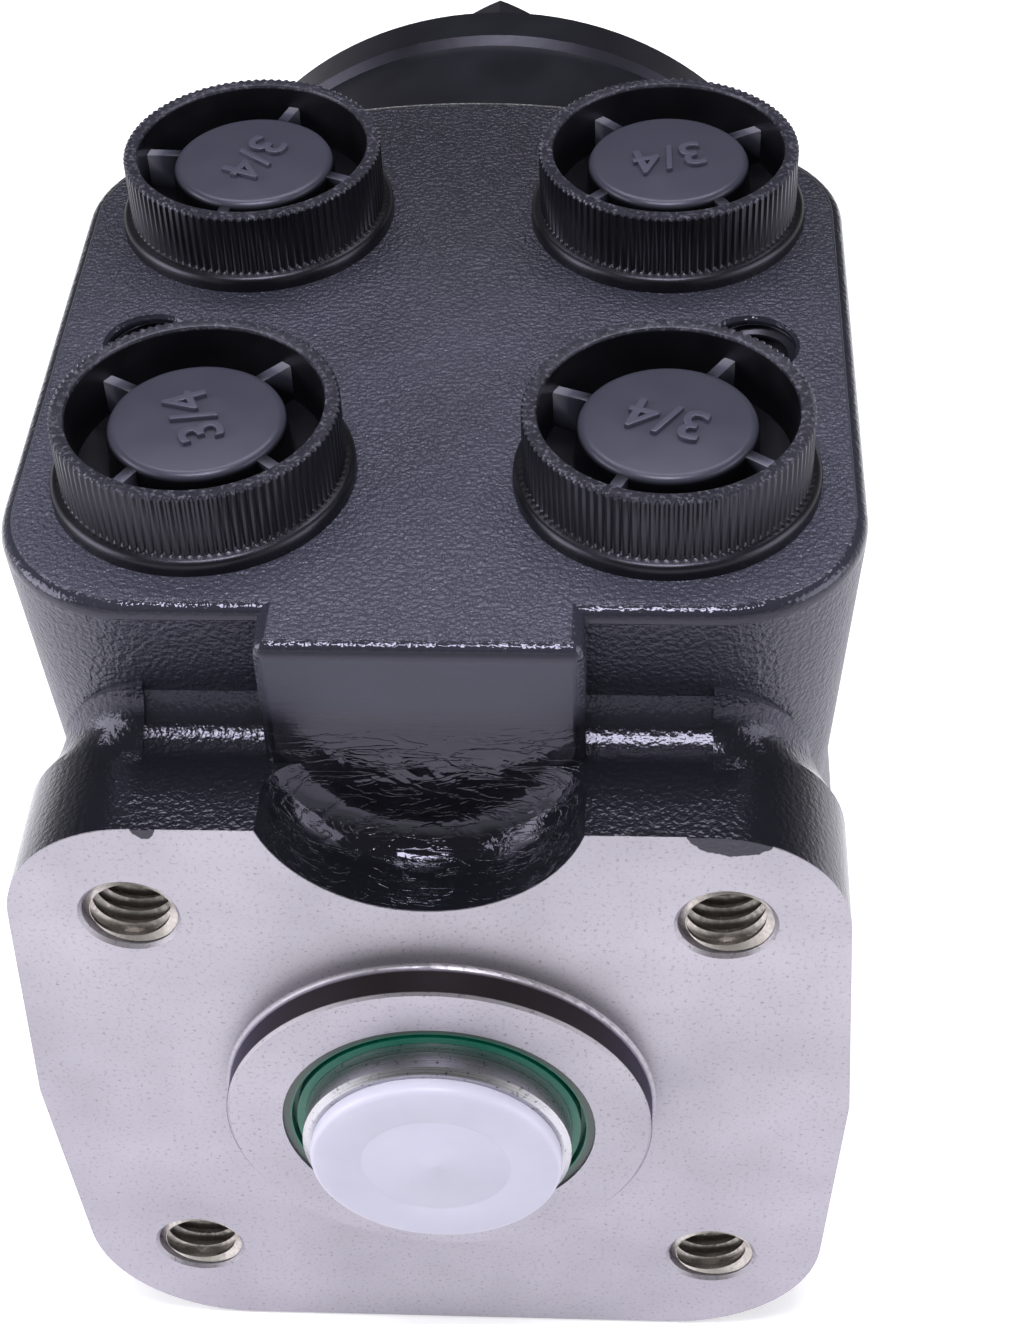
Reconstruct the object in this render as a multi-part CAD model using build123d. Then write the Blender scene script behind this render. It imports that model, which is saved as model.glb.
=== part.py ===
"""Orbital steering unit: an open-centre rotary valve with a gerotor metering set behind it.

Frame, in millimetres: the origin is the centre of the mounting flange's face, on the shaft axis.
+Y runs from the flange through the valve to the end cover, +Z points out of the port face.
"""

from build123d import *
import os
from math import atan, cos, degrees, pi, radians, sin, sqrt, tan

# Flange, cut flat at Y = 0
FLANGE_HALF_WIDTH = 42.9      # widest, on the casting's parting plane
BARREL_INSET = 0.1            # the barrel and the gear set lie inside the flange's width by this
BLOCK_INSET = 0.2             # and the port block by this
FLANGE_TOP = 41.8
FLANGE_BOTTOM = 43.4
FLANGE_CORNER = 13.5
FLANGE_FOOT_CORNER = 17.0     # the two lower corners
FLANGE_DEPTH = 12.5           # straight part, before it tapers into the barrel
FLANGE_TAPER = 24.0           # degrees
FLANGE_TAPER_LENGTH = 24.0
CASTING_DRAFT = 3.2           # degrees, both ways from the parting plane
BOLT_SPACING = 58.37          # four holes on an 82.55 mm circle
BOLT_RADIUS = 4.76            # 3/8-16 UNC
BOLT_DEPTH = 17.0
BOLT_CHAMFER = 0.35
DRILL_POINT = 59.0            # degrees, half the point's angle
PILOT_RADIUS = 22.3
PILOT_HEIGHT = 3.57
PILOT_EDGE = 0.35
PILOT_ROOT = 0.4              # fillet where the pilot stands on the flange face
NOTCH_RADIUS = 16.4           # round notch between the flange's upper ears
NOTCH_CENTRE_Z = 46.9
NOTCH_FILLET = 4.0

# Port block on top of the casting
PORT_FACE_Z = 57.2
BLOCK_FRONT = 14.1
REAR_LAND = 5.4               # round barrel left behind the block, for the gear set's seat
BLOCK_CORNER = 15.0
BLOCK_DRAFT = 4.0             # degrees, the block narrows below the port face
REAR_CURVE = 24.2             # the straight sides end this far before the block's rear
RIB_HALF_WIDTH = 15.5         # centre rib, forward of the block
RIB_FRONT = 9.0
RIB_EDGE = 1.2
PORT_EDGE = 1.4               # rounding of the port face's rim
POCKET_FILLET = 5.5           # hollow root between the flange and the block
PORT_PITCH_X = 46.06
PORT_FRONT_ROW = 33.84
PORT_REAR_INSET = 24.37       # rear row to the block's rear
PORT_RADIUS = 8.8             # 3/4-16 UNF, at the thread's crests
PORT_DEPTH = 15.0
PORT_SEAT = 1.2               # countersink for the fitting's sealing ring
PASSAGE_RADIUS = 3.6
PASSAGE_SHIFT = 4.05          # each port reaches its own ring groove
PASSAGE_INSET = 2.2
MANIFOLD_PITCH = 63.6         # two threaded holes between the port rows
MANIFOLD_ROW = 55.5

# Casting along the shaft axis
HOUSING_LENGTH = 109.6
BEARING_SHOULDER = 12.0
SEAL_WIDTH = 2.4              # the seal's ring outside the spool's neck
SEAL_DEPTH = 6.0
SEAL_SINK = 0.25              # the seal lies just below the pilot's face
SEAL_LIP = 0.85
SEAL_GROOVE = 0.55
SEAL_GROOVE_DEPTH = 1.3
RING_SEAL_START = 5.2
RING_SEAL_WIDTH = 3.2
RING_SEAL_DEPTH = 2.5
RING_GROOVE_DEPTH = 3.4       # oil grooves round the main bore
RING_GROOVE_WIDTH = 4.6
CHANNEL_RADIUS = 2.5          # seven oil channels to the gear set
CHANNEL_CIRCLE = 26.0
CHANNEL_DEPTH = 19.0

# Rotary valve
NECK_STEP = 1.0               # the neck is turned down from the spool by this
SPOOL_NOSE = 6.8              # the spool stands out of the flange face by this
SPOOL_WALL = 4.0              # round the bore for the drive shaft
SPOOL_EDGE = 0.6
SOCKET_DEPTH = 22.0
SOCKET_WALL = 6.0             # solid spool behind the drive socket
SLEEVE_RADIUS = 19.0
SLEEVE_WALL = 4.0
SLEEVE_STEP = 1.6             # the sleeve is turned down under the spring ring
METERING_HOLE = 1.6
METERING_HOLES = 6
PIN_RADIUS = 4.0
PIN_Y = 60.0
PIN_END = 0.4                 # the pin's ends lie inside the sleeve by this
SPOOL_TRAVEL = 8.0            # degrees either way between spool and sleeve
LEAF_THICKNESS = 0.3
LEAF_WIDTH = 7.0
LEAF_BOW = 1.8
LEAF_Y = 26.0
LEAF_SLOT = 7.4               # width of the spool's slot round the bowed leaves
RING_WALL = 1.4
RING_OVERHANG = 1.0

# Thrust bearing between the casting and the sleeve
FRONT_RACE = 1.0
REAR_RACE = 2.0
NEEDLE_RADIUS = 1.2
NEEDLE_LENGTH = 3.2
NEEDLES = 16
CAGE_THICKNESS = 1.4

# Gear set: seven round lobes in the ring and six on the rotor
PLATE_THICKNESS = 5.6
PLATE_BORE = 11.4
GEAR_WIDTH = 26.0
RING_LOBES = 7
LOBE_CIRCLE = 33.0
LOBE_RADIUS = 9.0
LOBE_FILLET = 1.5
ECCENTRICITY = 3.6
ROTOR_POINTS = 216
COVER_THICKNESS = 7.0
COVER_LIP = 1.0               # the cover stands out round the gear set by this
COVER_CHAMFER = 1.0
CORD_RADIUS = 0.85            # section of the three sealing rings
CORD_INSET = 1.9              # the rings' circle inside the gear set's outline

# Jointed drive shaft
SHANK_RADIUS = 7.0
FORK_GAP = 2.0                # fork inside the spool's bore
FORK_REACH = 9.0
FORK_ROOT = 12.0
HEAD_SETBACK = 16.2           # middle of the splined head before the cover
HEAD_LENGTH = 12.0
SPLINE_TEETH = 12
SPLINE_ROOT = 8.7
SPLINE_TIP = 10.4
TOOTH_ROOT_HALF = 1.3
TOOTH_TIP_HALF = 0.75
SPLINE_DEPTH_GAP = 0.45
SPLINE_FLANK_GAP = 0.14
CROWN = 3.7                   # degrees, relief of the head's teeth to both ends
SPACER_LENGTH = 9.0

# Cover screws, M8
SCREW_INSET = 8.2             # the screws' circle inside the gear set's outline
SCREW_RADIUS = 3.95
SCREW_HOLE = 4.3
SCREW_GRIP = 13.5             # thread length inside the casting
SCREW_HEAD = 5.3
SCREW_FLATS = 13.0
SCREW_EDGE = 0.5
WASHER_RADIUS = 7.3
WASHER_THICKNESS = 1.5
CHECK_VALVE_INDEX = 2         # the screw hole that holds the check ball
CHECK_PASSAGE = 10.0          # length of the passage under the ball's seat
CHECK_PIN_RADIUS = 1.5
CHECK_PIN_REACH = 3.0         # the pin stands out of the seat bush by this
BALL_RADIUS = 3.9
BALL_LIFT = 1.0
BALL_SEAT = 2.6
SEAT_RADIUS = 4.9
SEAT_LENGTH = 8.0

# Transit plugs
PLUG_FLANGE_RADIUS = 15.25
PLUG_FLANGE = 1.7
PLUG_FLANGE_EDGE = 0.7
PLUG_RIM_RADIUS = 14.0
PLUG_HEIGHT = 8.8
PLUG_WALL = 1.4
PLUG_WEB = 2.0                # closed floor between rim and button
BUTTON_RADIUS = 9.25
BUTTON_DROP = 1.7
BUTTON_EDGE = 0.8
SPOKE_WIDTH = 1.2
SPOKE_DROP = 1.3
SPOKES = 4
STUB_LENGTH = 9.0
PLUG_ANGLES = {"front_left": 53.0, "front_right": 61.0, "rear_left": 76.0, "rear_right": 38.0}
CAP_INSET = 0.95              # the cap's edge inside the neck's
CAP_THICKNESS = 1.8
CAP_EDGE = 0.5
CAP_SKIRT = 8.0

# Clearances
RUNNING = 0.02                # radial, spool in sleeve and sleeve in casting
FACE = 0.05                   # flat faces that slide on each other
SEAT = 0.02                   # pieces pressed or dropped into place
LOOSE = 0.3                   # pieces that only pass each other
GEAR_GAP = 0.08               # rotor to the ring's lobes
ROOT_GAP = 0.25               # rotor tips to the ring's roots

# Places that follow from these
SPOOL_RADIUS = SLEEVE_RADIUS - SLEEVE_WALL
NECK_RADIUS = SPOOL_RADIUS - NECK_STEP
SPOOL_BORE = SPOOL_RADIUS - SPOOL_WALL
FORK_RADIUS = SPOOL_BORE - FORK_GAP
SEAL_RADIUS = NECK_RADIUS + SEAL_WIDTH
CAP_RADIUS = NECK_RADIUS - CAP_INSET
BARREL_RADIUS = FLANGE_HALF_WIDTH - BARREL_INSET
BLOCK_HALF_WIDTH = FLANGE_HALF_WIDTH - BLOCK_INSET
GEAR_RADIUS = BARREL_RADIUS
COVER_RADIUS = GEAR_RADIUS + COVER_LIP
CORD_CIRCLE = GEAR_RADIUS - CORD_INSET
SCREW_CIRCLE = GEAR_RADIUS - SCREW_INSET
BLOCK_REAR = HOUSING_LENGTH - REAR_LAND
BLOCK_SIDE_END = BLOCK_REAR - REAR_CURVE
PLATE_Y = HOUSING_LENGTH
LEAF_ROOT = 3 * LEAF_THICKNESS       # half the leaf pack at its clamped ends
LEAF_HALF = SLEEVE_RADIUS - SLEEVE_STEP - LOOSE
LEAF_GRIP = LEAF_ROOT + LEAF_BOW * (1 - (SPOOL_RADIUS / LEAF_HALF) ** 2)
GEAR_Y = PLATE_Y + PLATE_THICKNESS
COVER_Y = GEAR_Y + GEAR_WIDTH
COVER_END = COVER_Y + COVER_THICKNESS
HEAD_Y = COVER_Y - HEAD_SETBACK
BORE_RADIUS = SLEEVE_RADIUS + RUNNING
SLEEVE_START = BEARING_SHOULDER + FRONT_RACE + 2 * NEEDLE_RADIUS + REAR_RACE + 3 * FACE
SLEEVE_END = HOUSING_LENGTH - 2 * FACE
SOCKET_END = SOCKET_DEPTH - SPOOL_NOSE
SPOOL_BORE_START = LEAF_Y + LEAF_WIDTH / 2 + SOCKET_WALL
TILT = degrees(atan(ECCENTRICITY / (HEAD_Y - PIN_Y)))
PORT_X = PORT_PITCH_X / 2
PORT_ROWS = {"front": PORT_FRONT_ROW, "rear": BLOCK_REAR - PORT_REAR_INSET}
PORT_SIDES = {"left": -1, "right": 1}
LOBE_PITCH = 360 / RING_LOBES
BALL_BORE = BALL_RADIUS + LOOSE
PIN_TIP = HOUSING_LENGTH - SEAT_LENGTH - CHECK_PIN_REACH
BALL_Y = PIN_TIP - BALL_LIFT - BALL_RADIUS - LOOSE
BALL_FLOOR = BALL_Y - BALL_RADIUS * sqrt(2) + BALL_SEAT - SEAT * sqrt(2)


def along_y(sketch, start, end):
    """Extrude a sketch, drawn with X across and Z up, from Y = start to Y = end."""
    return extrude(Plane.XZ.offset(-start) * sketch, amount=start - end)


def disc(radius, start, end):
    return along_y(Circle(radius), start, end)


def tube(outer, inner, start, end):
    return along_y(Circle(outer) - Circle(inner), start, end)


def turned(points):
    """Revolve a closed outline of (radius, Y) points about the shaft axis."""
    outline = Plane.XY * make_face(Polyline(*points, close=True))
    return revolve(outline, Axis.Y)


def around(shape, count, step=None):
    """Copies of a shape turned about the shaft axis."""
    step = step or 360 / count
    return [Rot(0, index * step, 0) * shape for index in range(count)]


def post(radius, x, y, bottom, top):
    """An upright cylinder."""
    return Pos(x, y, (bottom + top) / 2) * Cylinder(radius, top - bottom)


def write(name, solids):
    shape = solids if isinstance(solids, (Part, Compound, Solid)) else Compound(children=list(solids))
    export_step(shape, f"parts/{name}.step")


def flange_outline():
    """Square flange with draft on its sides and round corners."""
    draft = tan(radians(CASTING_DRAFT))
    top = FLANGE_HALF_WIDTH - FLANGE_TOP * draft
    bottom = FLANGE_HALF_WIDTH - FLANGE_BOTTOM * draft
    right = [(bottom, -FLANGE_BOTTOM), (FLANGE_HALF_WIDTH, 0), (top, FLANGE_TOP)]
    left = [(-x, z) for x, z in reversed(right)]
    face = make_face(Polyline(*right, *left, close=True))
    upper = face.vertices().filter_by(lambda vertex: vertex.Y > 1)
    face = fillet(upper, FLANGE_CORNER)
    lower = face.vertices().filter_by(lambda vertex: vertex.Y < 1 - FLANGE_BOTTOM)
    return fillet(lower, FLANGE_FOOT_CORNER)


def block_outline():
    """Plan of the port block: round corners and a slightly bowed rear edge."""
    side, corner, front = BLOCK_HALF_WIDTH, BLOCK_CORNER, BLOCK_FRONT
    inner = side - corner
    drop = BLOCK_REAR - BLOCK_SIDE_END
    bow = (inner**2 + drop**2 - corner**2) / (2 * (drop - corner))
    scale = bow / (bow - corner)
    touch_x = inner * scale
    touch_y = BLOCK_REAR - bow + (bow - drop) * scale
    mid = atan((touch_y - BLOCK_SIDE_END) / (touch_x - inner)) / 2
    half = sqrt(0.5) * corner
    edges = []
    for sign in (-1, 1):
        edges.append(Line((sign * side, front + corner), (sign * side, BLOCK_SIDE_END)))
        edges.append(ThreePointArc((sign * side, front + corner),
                                   (sign * (inner + half), front + corner - half),
                                   (sign * inner, front)))
        edges.append(ThreePointArc((sign * side, BLOCK_SIDE_END),
                                   (sign * (inner + corner * cos(mid)), BLOCK_SIDE_END + corner * sin(mid)),
                                   (sign * touch_x, touch_y)))
    edges.append(Line((-inner, front), (inner, front)))
    edges.append(ThreePointArc((-touch_x, touch_y), (0, BLOCK_REAR), (touch_x, touch_y)))
    return make_face(edges)


def rib_outline():
    depth = BLOCK_CORNER + BLOCK_FRONT - RIB_FRONT
    return Pos(0, RIB_FRONT + depth / 2) * Rectangle(2 * RIB_HALF_WIDTH, depth)


def port_block():
    """Drafted block under the port face, with its upright centre rib."""
    block = extrude(Pos(0, 0, PORT_FACE_Z) * block_outline(), amount=-PORT_FACE_Z, taper=BLOCK_DRAFT)
    rib = extrude(rib_outline(), amount=PORT_FACE_Z)
    corners = rib.edges().filter_by(Axis.Z).group_by(Axis.Y)[0]
    body = block + fillet(corners, RIB_EDGE)
    rim = body.faces().sort_by(Axis.Z)[-1].edges()
    return fillet(rim, PORT_EDGE)


def pocket_root():
    """Hollow fillet where the block's front wall stands on the flange's upper surface."""
    floor = FLANGE_TOP
    wall = BLOCK_FRONT + (PORT_FACE_Z - floor) * tan(radians(BLOCK_DRAFT))
    size = POCKET_FILLET
    corner = Rectangle(size, size, align=(Align.MAX, Align.MIN)) - Pos(-size, size) * Circle(size)
    bar = extrude(Plane.YZ.offset(-BLOCK_HALF_WIDTH + BLOCK_CORNER) * Pos(wall, floor) * corner,
                  amount=2 * (BLOCK_HALF_WIDTH - BLOCK_CORNER))
    return bar


def blind_hole(radius, depth, chamfer_size):
    """A drilled hole with a drill point and a countersunk mouth, cut downwards from Z = 0."""
    point = radius / tan(radians(DRILL_POINT))
    outline = [(0, 1), (radius + chamfer_size + 1, 1), (radius, -chamfer_size), (radius, -depth),
               (0, -depth - point)]
    face = Plane.XZ * make_face(Polyline(*outline, close=True))
    return revolve(face, Axis.Z)


def flange_holes():
    half = BOLT_SPACING / 2
    hole = Rot(90, 0, 0) * blind_hole(BOLT_RADIUS, BOLT_DEPTH, BOLT_CHAMFER)
    return [Pos(x, 0, z) * hole for x in (-half, half) for z in (-half, half)]


def port_wells():
    """Four ports, each with a passage down to its own ring groove in the main bore."""
    cuts = []
    for y in PORT_ROWS.values():
        for side in PORT_SIDES.values():
            well = Pos(side * PORT_X, y, PORT_FACE_Z) * blind_hole(PORT_RADIUS, PORT_DEPTH, PORT_SEAT)
            passage = post(PASSAGE_RADIUS, side * (PORT_X - PASSAGE_INSET), y + side * PASSAGE_SHIFT,
                           0, PORT_FACE_Z - PORT_DEPTH)
            cuts += [well, passage]
    return cuts


def bore_grooves():
    rows = [y + side * PASSAGE_SHIFT for y in PORT_ROWS.values() for side in PORT_SIDES.values()]
    half = RING_GROOVE_WIDTH / 2
    return [tube(BORE_RADIUS + RING_GROOVE_DEPTH, BORE_RADIUS - 1, y - half, y + half) for y in rows]


def gear_channels():
    """Seven channels from the rear face, each opening into the main bore."""
    start = HOUSING_LENGTH - CHANNEL_DEPTH
    drilled = Pos(0, 0, CHANNEL_CIRCLE) * disc(CHANNEL_RADIUS, start, HOUSING_LENGTH + 1)
    slot_height = CHANNEL_CIRCLE - BORE_RADIUS + 1
    slot = Pos(0, start + CHANNEL_RADIUS, CHANNEL_CIRCLE - slot_height / 2) * Box(
        2 * CHANNEL_RADIUS, 2 * CHANNEL_RADIUS, slot_height)
    return around(Rot(0, LOBE_PITCH / 2, 0) * (drilled + slot), RING_LOBES)


def screw_places(shape, count=RING_LOBES):
    """Copies of a shape, drawn on the shaft axis, at the cover screws."""
    return around(Pos(0, 0, SCREW_CIRCLE) * shape, count)


def housing_screw_holes():
    plain = disc(SCREW_RADIUS + SEAT, HOUSING_LENGTH - SCREW_GRIP - 1, HOUSING_LENGTH + 1)
    holes = screw_places(plain)
    seat_bottom = HOUSING_LENGTH - SEAT_LENGTH - 2 * SEAT
    passage_end = BALL_FLOOR - CHECK_PASSAGE
    ball_hole = turned([(0, passage_end), (BALL_SEAT, passage_end), (BALL_SEAT, BALL_FLOOR),
                        (BALL_BORE, BALL_FLOOR + BALL_BORE - BALL_SEAT), (BALL_BORE, seat_bottom),
                        (SEAT_RADIUS + SEAT, seat_bottom), (SEAT_RADIUS + SEAT, HOUSING_LENGTH + 1),
                        (0, HOUSING_LENGTH + 1)])
    holes[CHECK_VALVE_INDEX] = screw_places(ball_hole)[CHECK_VALVE_INDEX]
    return holes


def cord_groove(face_y, into):
    """Ring groove for a sealing ring, cut into the face at Y = face_y; into is +1 or -1."""
    half = CORD_RADIUS + SEAT
    depth = into * 2 * CORD_RADIUS
    low, high = sorted((face_y - into, face_y + depth))
    return tube(CORD_CIRCLE + half, CORD_CIRCLE - half, low, high)


def main_bore():
    lip = NECK_RADIUS + LOOSE
    ring = NECK_RADIUS + RING_SEAL_DEPTH
    seal_end = SEAL_DEPTH - PILOT_HEIGHT
    ring_end = RING_SEAL_START + RING_SEAL_WIDTH
    return turned([(0, -PILOT_HEIGHT - 1), (SEAL_RADIUS, -PILOT_HEIGHT - 1), (SEAL_RADIUS, seal_end),
                   (lip, seal_end), (lip, RING_SEAL_START), (ring, RING_SEAL_START), (ring, ring_end),
                   (lip, ring_end), (lip, BEARING_SHOULDER), (BORE_RADIUS, BEARING_SHOULDER),
                   (BORE_RADIUS, HOUSING_LENGTH + 1), (0, HOUSING_LENGTH + 1)])


def notch():
    """Round notch through the flange's top, closed at the rear by the centre rib."""
    cutter = Pos(0, 0, NOTCH_CENTRE_Z) * disc(NOTCH_RADIUS, -1, RIB_FRONT)
    rear = cutter.faces().sort_by(Axis.Y)[-1].edges()
    return fillet(rear, NOTCH_FILLET)


def build_housing():
    flange = along_y(flange_outline(), 0, FLANGE_DEPTH)
    gusset = extrude(Plane.XZ.offset(-FLANGE_DEPTH) * flange_outline(), amount=-FLANGE_TAPER_LENGTH,
                     taper=FLANGE_TAPER)
    barrel = disc(BARREL_RADIUS, FLANGE_DEPTH, HOUSING_LENGTH)
    shoulder = Pos(0, 0, FLANGE_TOP / 2) * along_y(
        Rectangle(2 * (BLOCK_HALF_WIDTH - BLOCK_CORNER), FLANGE_TOP), 0, BLOCK_FRONT)
    pilot = disc(PILOT_RADIUS, -PILOT_HEIGHT, 1)
    pilot = chamfer(pilot.faces().sort_by(Axis.Y)[0].edges(), PILOT_EDGE)
    body = flange + gusset + barrel + port_block() + shoulder + pocket_root()
    body = body - notch() + pilot
    root = body.edges().filter_by(lambda edge: edge.is_closed and abs(edge.center().Y) < FACE)
    body = fillet(root, PILOT_ROOT) - main_bore()
    body = body - (flange_holes() + port_wells() + bore_grooves() + gear_channels())
    body = body - (housing_screw_holes() + [cord_groove(HOUSING_LENGTH, -1)] + manifold_holes())
    return body


def manifold_holes():
    hole = blind_hole(BOLT_RADIUS, BOLT_DEPTH, BOLT_CHAMFER)
    return [Pos(side * MANIFOLD_PITCH / 2, MANIFOLD_ROW, PORT_FACE_Z) * hole for side in (-1, 1)]


def leaf_slot(outer, width):
    """Slot for the leaf springs through a hollow shaft, upright and across the axis."""
    return Pos(0, LEAF_Y, 0) * Box(width, LEAF_WIDTH + 2 * LOOSE, 2 * outer)


def radial_holes(radius, reach, y, count):
    drill = Pos(0, y, reach / 2) * Cylinder(radius, reach)
    return around(drill, count)


def build_sleeve():
    """Rotary sleeve, turned down at its front end for the spring ring."""
    step_end = LEAF_Y + LEAF_WIDTH / 2 + LOOSE + RING_OVERHANG
    body = tube(SLEEVE_RADIUS, SPOOL_RADIUS + RUNNING, SLEEVE_START, SLEEVE_END)
    body -= tube(SLEEVE_RADIUS + 1, SLEEVE_RADIUS - SLEEVE_STEP, SLEEVE_START - 1, step_end)
    body -= leaf_slot(SLEEVE_RADIUS + 1, 2 * LEAF_GRIP + 2 * FACE)
    body -= Pos(0, PIN_Y, 0) * Rot(0, 90, 0) * Cylinder(PIN_RADIUS + SEAT, 2 * SLEEVE_RADIUS + 2)
    for y in PORT_ROWS.values():
        for side in PORT_SIDES.values():
            body -= radial_holes(METERING_HOLE, SLEEVE_RADIUS + 1, y + side * PASSAGE_SHIFT, METERING_HOLES)
    return body


def spline_outline(root, tip, root_half, tip_half):
    """Toothed outline: a root circle with straight-sided teeth."""
    tooth = make_face(Polyline((-root_half, root - 1), (-tip_half, tip), (tip_half, tip),
                               (root_half, root - 1), close=True))
    return Circle(root) + [Rot(0, 0, index * 360 / SPLINE_TEETH) * tooth for index in range(SPLINE_TEETH)]


def spline_bore(start, end):
    """Internal spline that the shaft's teeth fit with clearance."""
    gap, flank = SPLINE_DEPTH_GAP, SPLINE_FLANK_GAP
    outline = spline_outline(SPLINE_ROOT + gap, SPLINE_TIP + gap, TOOTH_ROOT_HALF + flank, TOOTH_TIP_HALF + flank)
    return along_y(outline, start, end)


def build_spool():
    """Rotary spool with the drive socket in its nose and a long bore for the drive shaft."""
    edge, neck_end = SPOOL_EDGE, SLEEVE_START
    body = turned([(0, -SPOOL_NOSE), (NECK_RADIUS - edge, -SPOOL_NOSE), (NECK_RADIUS, edge - SPOOL_NOSE),
                   (NECK_RADIUS, neck_end), (SPOOL_RADIUS, neck_end), (SPOOL_RADIUS, SLEEVE_END),
                   (SPOOL_BORE, SLEEVE_END), (SPOOL_BORE, SPOOL_BORE_START), (0, SPOOL_BORE_START)])
    body -= spline_bore(-SPOOL_NOSE - 1, SOCKET_END)
    body -= leaf_slot(SPOOL_RADIUS + 1, LEAF_SLOT)
    pin_hole = PIN_RADIUS + SPOOL_RADIUS * sin(radians(SPOOL_TRAVEL)) + LOOSE / 2
    body -= Pos(0, PIN_Y, 0) * Rot(0, 90, 0) * Cylinder(pin_hole, 2 * SPOOL_RADIUS + 2)
    return body


def build_cross_pin():
    half = SLEEVE_RADIUS - PIN_END
    pin = Pos(0, PIN_Y, 0) * Rot(0, 90, 0) * Cylinder(PIN_RADIUS, 2 * half)
    return chamfer(pin.edges().filter_by(GeomType.CIRCLE), SPOOL_EDGE)


def bowed_leaf(inner_end, bow):
    """A leaf bowed away from the centre, as a strip between two arcs."""
    half, outer_end = LEAF_HALF, inner_end + LEAF_THICKNESS
    outline = make_face([
        ThreePointArc((inner_end, -half), (inner_end + bow, 0), (inner_end, half)),
        Line((inner_end, half), (outer_end, half)),
        ThreePointArc((outer_end, half), (outer_end + bow, 0), (outer_end, -half)),
        Line((outer_end, -half), (inner_end, -half))])
    return along_y(outline, LEAF_Y - LEAF_WIDTH / 2, LEAF_Y + LEAF_WIDTH / 2)


def build_springs():
    """Two flat leaves in the middle and two bowed ones on each side."""
    leaves = []
    for side in (1, -1):
        flat = Pos(side * LEAF_THICKNESS / 2, LEAF_Y, 0) * Box(LEAF_THICKNESS, LEAF_WIDTH, 2 * LEAF_HALF)
        leaves.append(flat)
        for layer in (1, 2):
            leaves.append(Rot(0, 90 - side * 90, 0) * bowed_leaf(layer * LEAF_THICKNESS, LEAF_BOW))
    return leaves


def build_spring_ring():
    half = LEAF_WIDTH / 2 + LOOSE + RING_OVERHANG - SEAT
    inner = SLEEVE_RADIUS - SLEEVE_STEP + SEAT
    return tube(inner + RING_WALL, inner, LEAF_Y - half, LEAF_Y + half)


def bearing_pieces():
    """Thrust bearing: two races with a caged row of needles between them."""
    inner, outer = NECK_RADIUS + LOOSE, BORE_RADIUS - LOOSE
    front_end = BEARING_SHOULDER + FRONT_RACE
    middle = front_end + FACE + NEEDLE_RADIUS
    rear_start = middle + NEEDLE_RADIUS + FACE
    circle = (inner + outer) / 2
    needle = Pos(0, middle, circle) * Cylinder(NEEDLE_RADIUS, NEEDLE_LENGTH)
    pocket = Pos(0, middle, circle) * Box(2 * (NEEDLE_RADIUS + FACE), 2 * NEEDLE_RADIUS,
                                          NEEDLE_LENGTH + 2 * FACE)
    cage = tube(outer, inner, middle - CAGE_THICKNESS / 2, middle + CAGE_THICKNESS / 2)
    return {
        "bearing_race_front": tube(outer, inner, BEARING_SHOULDER, front_end),
        "bearing_cage": cage - around(pocket, NEEDLES),
        "bearing_needles": around(needle, NEEDLES),
        "bearing_race_rear": tube(outer, inner, rear_start, rear_start + REAR_RACE),
    }


def build_shaft_seal():
    """Shaft seal with a lip on the spool's neck and an open groove round the lip."""
    inner, outer = NECK_RADIUS + RUNNING, SEAL_RADIUS - SEAT
    lip = inner + SEAL_LIP
    groove = lip + SEAL_GROOVE
    front, rear = SEAL_SINK - PILOT_HEIGHT, SEAL_DEPTH - PILOT_HEIGHT
    floor = front + SEAL_GROOVE_DEPTH
    return turned([(inner, front), (lip, front), (lip, floor), (groove, floor), (groove, front), (outer, front),
                   (outer, rear), (inner, rear)])


def build_pressure_seal():
    end = RING_SEAL_START + RING_SEAL_WIDTH - SEAT
    return tube(NECK_RADIUS + RING_SEAL_DEPTH - SEAT, NECK_RADIUS + RUNNING, RING_SEAL_START + SEAT, end)


def build_distributor_plate():
    plate = tube(GEAR_RADIUS, PLATE_BORE, PLATE_Y, GEAR_Y)
    drilled = Pos(0, 0, CHANNEL_CIRCLE) * disc(CHANNEL_RADIUS, PLATE_Y - 1, GEAR_Y + 1)
    channels = around(Rot(0, LOBE_PITCH / 2, 0) * drilled, RING_LOBES)
    return plate - (channels + screw_places(disc(SCREW_HOLE, PLATE_Y - 1, GEAR_Y + 1)))


def build_gear_ring():
    """Fixed ring with seven round lobes, each in line with a cover screw."""
    root = LOBE_CIRCLE - LOBE_RADIUS + 2 * ECCENTRICITY + ROOT_GAP
    lobes = [Rot(0, 0, index * LOBE_PITCH) * Pos(0, LOBE_CIRCLE) * Circle(LOBE_RADIUS)
             for index in range(RING_LOBES)]
    chamber = Circle(root) - lobes
    chamber = fillet(chamber.vertices(), LOBE_FILLET)
    outline = Circle(GEAR_RADIUS) - chamber
    body = along_y(outline, GEAR_Y, COVER_Y)
    body -= screw_places(disc(SCREW_HOLE, GEAR_Y - 1, COVER_Y + 1))
    return body - [cord_groove(GEAR_Y, 1), cord_groove(COVER_Y, -1)]


def rotor_outline():
    """Six-lobed rotor: the path of the ring's lobe centres, moved inwards by the lobe radius."""
    points = []
    waves, inset = RING_LOBES, LOBE_RADIUS + GEAR_GAP
    for index in range(ROTOR_POINTS):
        turn = 2 * pi * index / ROTOR_POINTS
        x = LOBE_CIRCLE * sin(turn) - ECCENTRICITY * sin(waves * turn)
        y = LOBE_CIRCLE * cos(turn) - ECCENTRICITY * cos(waves * turn)
        along_x = LOBE_CIRCLE * cos(turn) - ECCENTRICITY * waves * cos(waves * turn)
        along = -LOBE_CIRCLE * sin(turn) + ECCENTRICITY * waves * sin(waves * turn)
        speed = sqrt(along_x**2 + along**2)
        points.append((x + inset * along / speed, y - inset * along_x / speed))
    return make_face(Spline(*points, periodic=True))


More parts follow.
